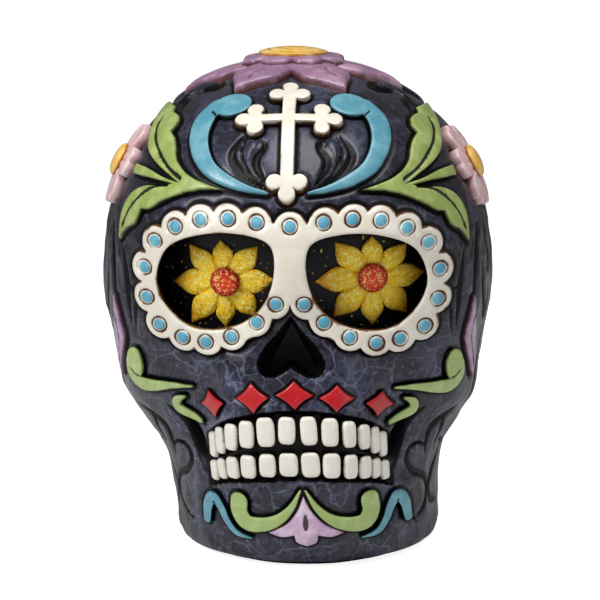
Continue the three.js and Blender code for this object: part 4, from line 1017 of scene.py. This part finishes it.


# The skin itself: hammered flats with a soft ridge between them, painted slate, rubbed in patches with a paler
# lavender grey, washed black in every cut, and varnished. Its underside takes the plug.
luck = np.random.default_rng(11)
SPACING = 8.2
grid = np.stack(np.meshgrid(*[np.arange(low, high, SPACING) for low, high in ((-60, 60), (-66, 68), (-4, 130))],
                            indexing="ij"), -1)
grid = grid.reshape(-1, 3) + luck.uniform(-0.46, 0.46, (grid.size // 3, 3)) * SPACING
skin_there = skin_radius(np.arctan2(grid[:, 0], -grid[:, 1]), np.clip(grid[:, 2], 0, CROWN))
grid = grid[np.abs(np.hypot(grid[:, 0], grid[:, 1]) - skin_there) < 9]
tree = KDTree(len(grid))
for i, centre in enumerate(grid):
    tree.insert(centre, i)
tree.balance()
from_flat = np.array([tree.find(point)[2] for point in net])
smooth = rise(net_height, 88, 94) * rise(-net[:, 1], 5, 18)
chipped = (np.clip(0.02 * from_flat**2, 0, 0.55) - 0.25) * (1 - 0.8 * smooth)
lifts = chipped * rise(-black, 0, 2.5) + raised - cut
lifts = np.where(net_height < BASE + 1.2, np.minimum(lifts, 0), lifts)
straight = sunk / np.maximum(net_out @ FACE.out, 0.4)
skin = (net + net_out * lifts[:, None] - straight[:, None] * FACE.out).reshape(len(levels), len(bearings), 3)
skin[..., 2] = np.maximum(skin[..., 2], BASE)
skin[0, :, 2] = BASE

# Radius and height down the neck: its bore, and the step that takes the rim of the plug
NECK_Y, NECK_TOP = -5.0, 12
NECK = ((19.5, NECK_TOP), (19.5, 4.4), (23.3, 4.4), (23.3, BASE))
neck = [level_ring(bearings, radius, height, NECK_Y) for radius, height in NECK]
points, faces = closed_stack([*neck, *skin], [0, NECK_Y, NECK_TOP], [0, 0, CROWN])

SLATE = Finish("slate_crackled", {"Coat Weight": 0.2, "Coat Roughness": 0.2, "Specular IOR Level": 0.3})
cuts, polish = SLATE.mark("black"), SLATE.mark("smooth")
cloud, brush, speck = SLATE.grain(12, 3), SLATE.grain(1.6, 5, 0.65), SLATE.grain(0.6, 2)
color = SLATE.mix(SLATE.rise(cloud + (brush - 0.5) * 0.9, 0.32, 0.78), shade(33, 32, 42), shade(65, 67, 88))
color = SLATE.mix(SLATE.rise(brush, 0.54, 0.8) * 0.5, color, shade(104, 105, 132))
wander = SLATE.node("ShaderNodeTexNoise", None, {"Vector": SLATE.place, "Scale": 1 / (5 * MM), "Detail": 3.0},
                    out="Color")
wander = SLATE.vector("ADD", {0: SLATE.place, 1: SLATE.vector("SCALE", {0: wander, "Scale": 4 * MM})})


def crackle(size, width):
    to_edge = SLATE.node("ShaderNodeTexVoronoi", {"feature": "DISTANCE_TO_EDGE"},
                         {"Vector": wander, "Scale": 1 / (size * MM)})
    return 1 - SLATE.rise(to_edge * size + (brush - 0.5) * 0.3, 0.02, width)


line = crackle(9.0, 0.26) * SLATE.rise(cloud + (brush - 0.5) * 0.5, 0.26, 0.5) * 0.75
# The sides, where the skin turns away from the front, are painted darker and their pale lines dimmer: painted
# shade
color = SLATE.mix(SLATE.mark("side_shade") * 0.5, color, shade(22, 21, 24))
line = line + crackle(5.2, 0.2) * SLATE.rise(brush + (cloud - 0.5) * 0.5, 0.42, 0.58) * 0.7
line = line * (1 - polish * 0.8) * (1 - SLATE.mark("side_shade") * 0.55) * 0.5
color = SLATE.mix(line, color, shade(136, 138, 170))
dark = SLATE.rise(cuts + (speck - 0.5) * 0.25, -0.12, 0.16)
chance = SLATE.node("ShaderNodeSeparateColor", None, {0: SLATE.cells(0.36)}, out=0)
dust = SLATE.rise(chance, 0.99, 0.994) * SLATE.mark("dusted")
color = SLATE.mix(dust, color, shade(220, 200, 70))
SLATE.wear(color, brush * 0.2 + 0.2, SLATE.bump(brush * 0.7 + speck * 0.3, 0.12))
SLATE.blackened(dark * (1 - dust))
# The marks for the paint, each with the value it has on the neck and at the very top
marks = {name: np.pad(values, (len(neck) * len(bearings), 2), constant_values=hidden)
         for name, values, hidden in (
             ("black", black, -3.0), ("smooth", smooth, 1.0), ("dusted", dusted, 0.0),
             ("side_shade", rise(np.abs(net_angle), 0.55, 1.0), 1.0))}
piece("skull_painted", points, faces, SLATE.material, "slate_resin", "skull_casting", **marks)


# A soft plastic plug is pushed into the neck to close it. A die-cut felt pad, a little smaller than the foot,
# is glued under both.
RUBBER = Finish("plug_rubber")
RUBBER.wear(RUBBER.mix(RUBBER.rise(RUBBER.grain(3), 0.3, 0.7), shade(34, 34, 36), shade(48, 48, 50)), 0.6,
            RUBBER.bump(RUBBER.grain(0.4), 0.05))
PLUG_TOP = 8.1
plug_profile = [(22.4, BASE), (23, BASE + 0.5), (23, 3.7), (22.6, 4.1), (19.2, 4.1), (19.2, 7.6),
                (18.6, PLUG_TOP)]
turns = full_turn(96)
points, faces = closed_stack([level_ring(turns, radius, height, NECK_Y) for radius, height in plug_profile],
                             [0, NECK_Y, BASE], [0, NECK_Y, PLUG_TOP])
piece("plug_moulded", points, faces, RUBBER.material, "plug_rubber", "base_plug")

FELT = Finish("black_felt", {"Specular IOR Level": 0.2})
nap = FELT.node("ShaderNodeTexNoise", None, {"Vector": FELT.place, "Scale": 2600.0, "Detail": 4.0})
FELT.wear(FELT.mix(FELT.rise(nap, 0.3, 0.7), shade(20, 20, 22), shade(44, 43, 46)), 0.95,
          FELT.bump(nap, 0.15))
FELT_THICK, FELT_INSET, SIDE_INSET, NAP = 1.2, 3.5, 1.5, 0.05
turns = full_turn(240)
reach = skin_radius(turns, np.full(240, BASE)) - FELT_INSET - SIDE_INSET * np.sin(turns) ** 2
reach += luck.normal(0, NAP, 240)
lower = [(0.2, 0), (0.4, 0), (0.6, 0), (0.8, 0), (0.92, 0), (0.985, 0.02), (1, 0.3)]
upper = [(share, FELT_THICK - level) for share, level in lower[::-1]]
points, faces = closed_stack([level_ring(turns, share * reach, level) for share, level in lower + upper],
                             [0, 0, 0], [0, 0, FELT_THICK])
felt = piece("felt_foot", points, faces, FELT.material, "felt", "felt_pad")
cut_line = np.stack([reach * np.sin(turns), reach * np.cos(turns)], -1) * MM


# The stage: a pale floor that keeps only a soft shadow, white all round, three soft lamps, and the camera where
# the photo was taken.
def lamp(name, place, aim, size, watts):
    data = bpy.data.lights.new(name, "AREA")
    data.shape, data.size, data.energy = "SQUARE", size, watts
    made = bpy.data.objects.new(name, data)
    made.location = place
    made.rotation_euler = (Vector(aim) - Vector(place)).to_track_quat("-Z", "Y").to_euler()
    bpy.context.scene.collection.objects.link(made)


MIDDLE = (0, 0, 0.062)
lamp("softbox_left", (-0.46, -0.4, 0.5), MIDDLE, 0.3, 3.0)
lamp("softbox_top", (0.06, -0.2, 0.66), MIDDLE, 0.36, 2.4)
lamp("softbox_right", (0.52, -0.3, 0.2), MIDDLE, 0.26, 0.35)

floor_mesh = bpy.data.meshes.new("floor")
floor_mesh.from_pydata([(-3, -3, 0), (3, -3, 0), (3, 3, 0), (-3, 3, 0)], [], [(0, 1, 2, 3)])
FLOOR = Finish("pale_floor", {"Base Color": (0.8, 0.8, 0.8, 1.0), "Roughness": 0.9, "Specular IOR Level": 0.0,
                              "Emission Strength": 0.88})
WHITE = (1.0, 1.0, 1.0, 1.0)
FLOOR.feed(FLOOR.shader.inputs["Emission Color"],
           FLOOR.mix(FLOOR.node("ShaderNodeLightPath", out="Is Camera Ray"), (0.0, 0.0, 0.0, 1.0), WHITE))
floor_mesh.materials.append(FLOOR.material)
floor = bpy.data.objects.new("floor", floor_mesh)
bpy.context.scene.collection.objects.link(floor)

world = bpy.data.worlds.new("white_room")
bpy.context.scene.world = world
world.use_nodes = True
ROOM = Nodes(world.node_tree)
dim = ROOM.tree.nodes["Background"]
ROOM.feed(dim.inputs["Color"], WHITE)
ROOM.feed(dim.inputs["Strength"], 0.14)
ROOM.feed(ROOM.tree.nodes["World Output"].inputs["Surface"], ROOM.node("ShaderNodeMixShader", None, {
    0: ROOM.node("ShaderNodeLightPath", out="Is Camera Ray"), 1: Wire(ROOM, dim.outputs[0]),
    2: ROOM.node("ShaderNodeBackground", None, {"Color": WHITE})}))

camera_data = bpy.data.cameras.new("camera")
camera = bpy.data.objects.new("camera", camera_data)
bpy.context.scene.collection.objects.link(camera)
bpy.context.scene.camera = camera
camera_data.sensor_width = 36
camera_data.lens = 203.8
PICTURE = 600
camera_data.shift_x, camera_data.shift_y = 2 / PICTURE, -13 / PICTURE
turn, tilt, distance = math.radians(2), math.radians(9), 0.9
back = Vector((math.sin(turn) * math.cos(tilt), -math.cos(turn) * math.cos(tilt), math.sin(tilt)))
camera.location = Vector((0, SHIFT * MM, 0.064)) + back * distance
camera.rotation_euler = (-back).to_track_quat("-Z", "Y").to_euler()
bpy.context.scene.view_settings.view_transform = "Standard"
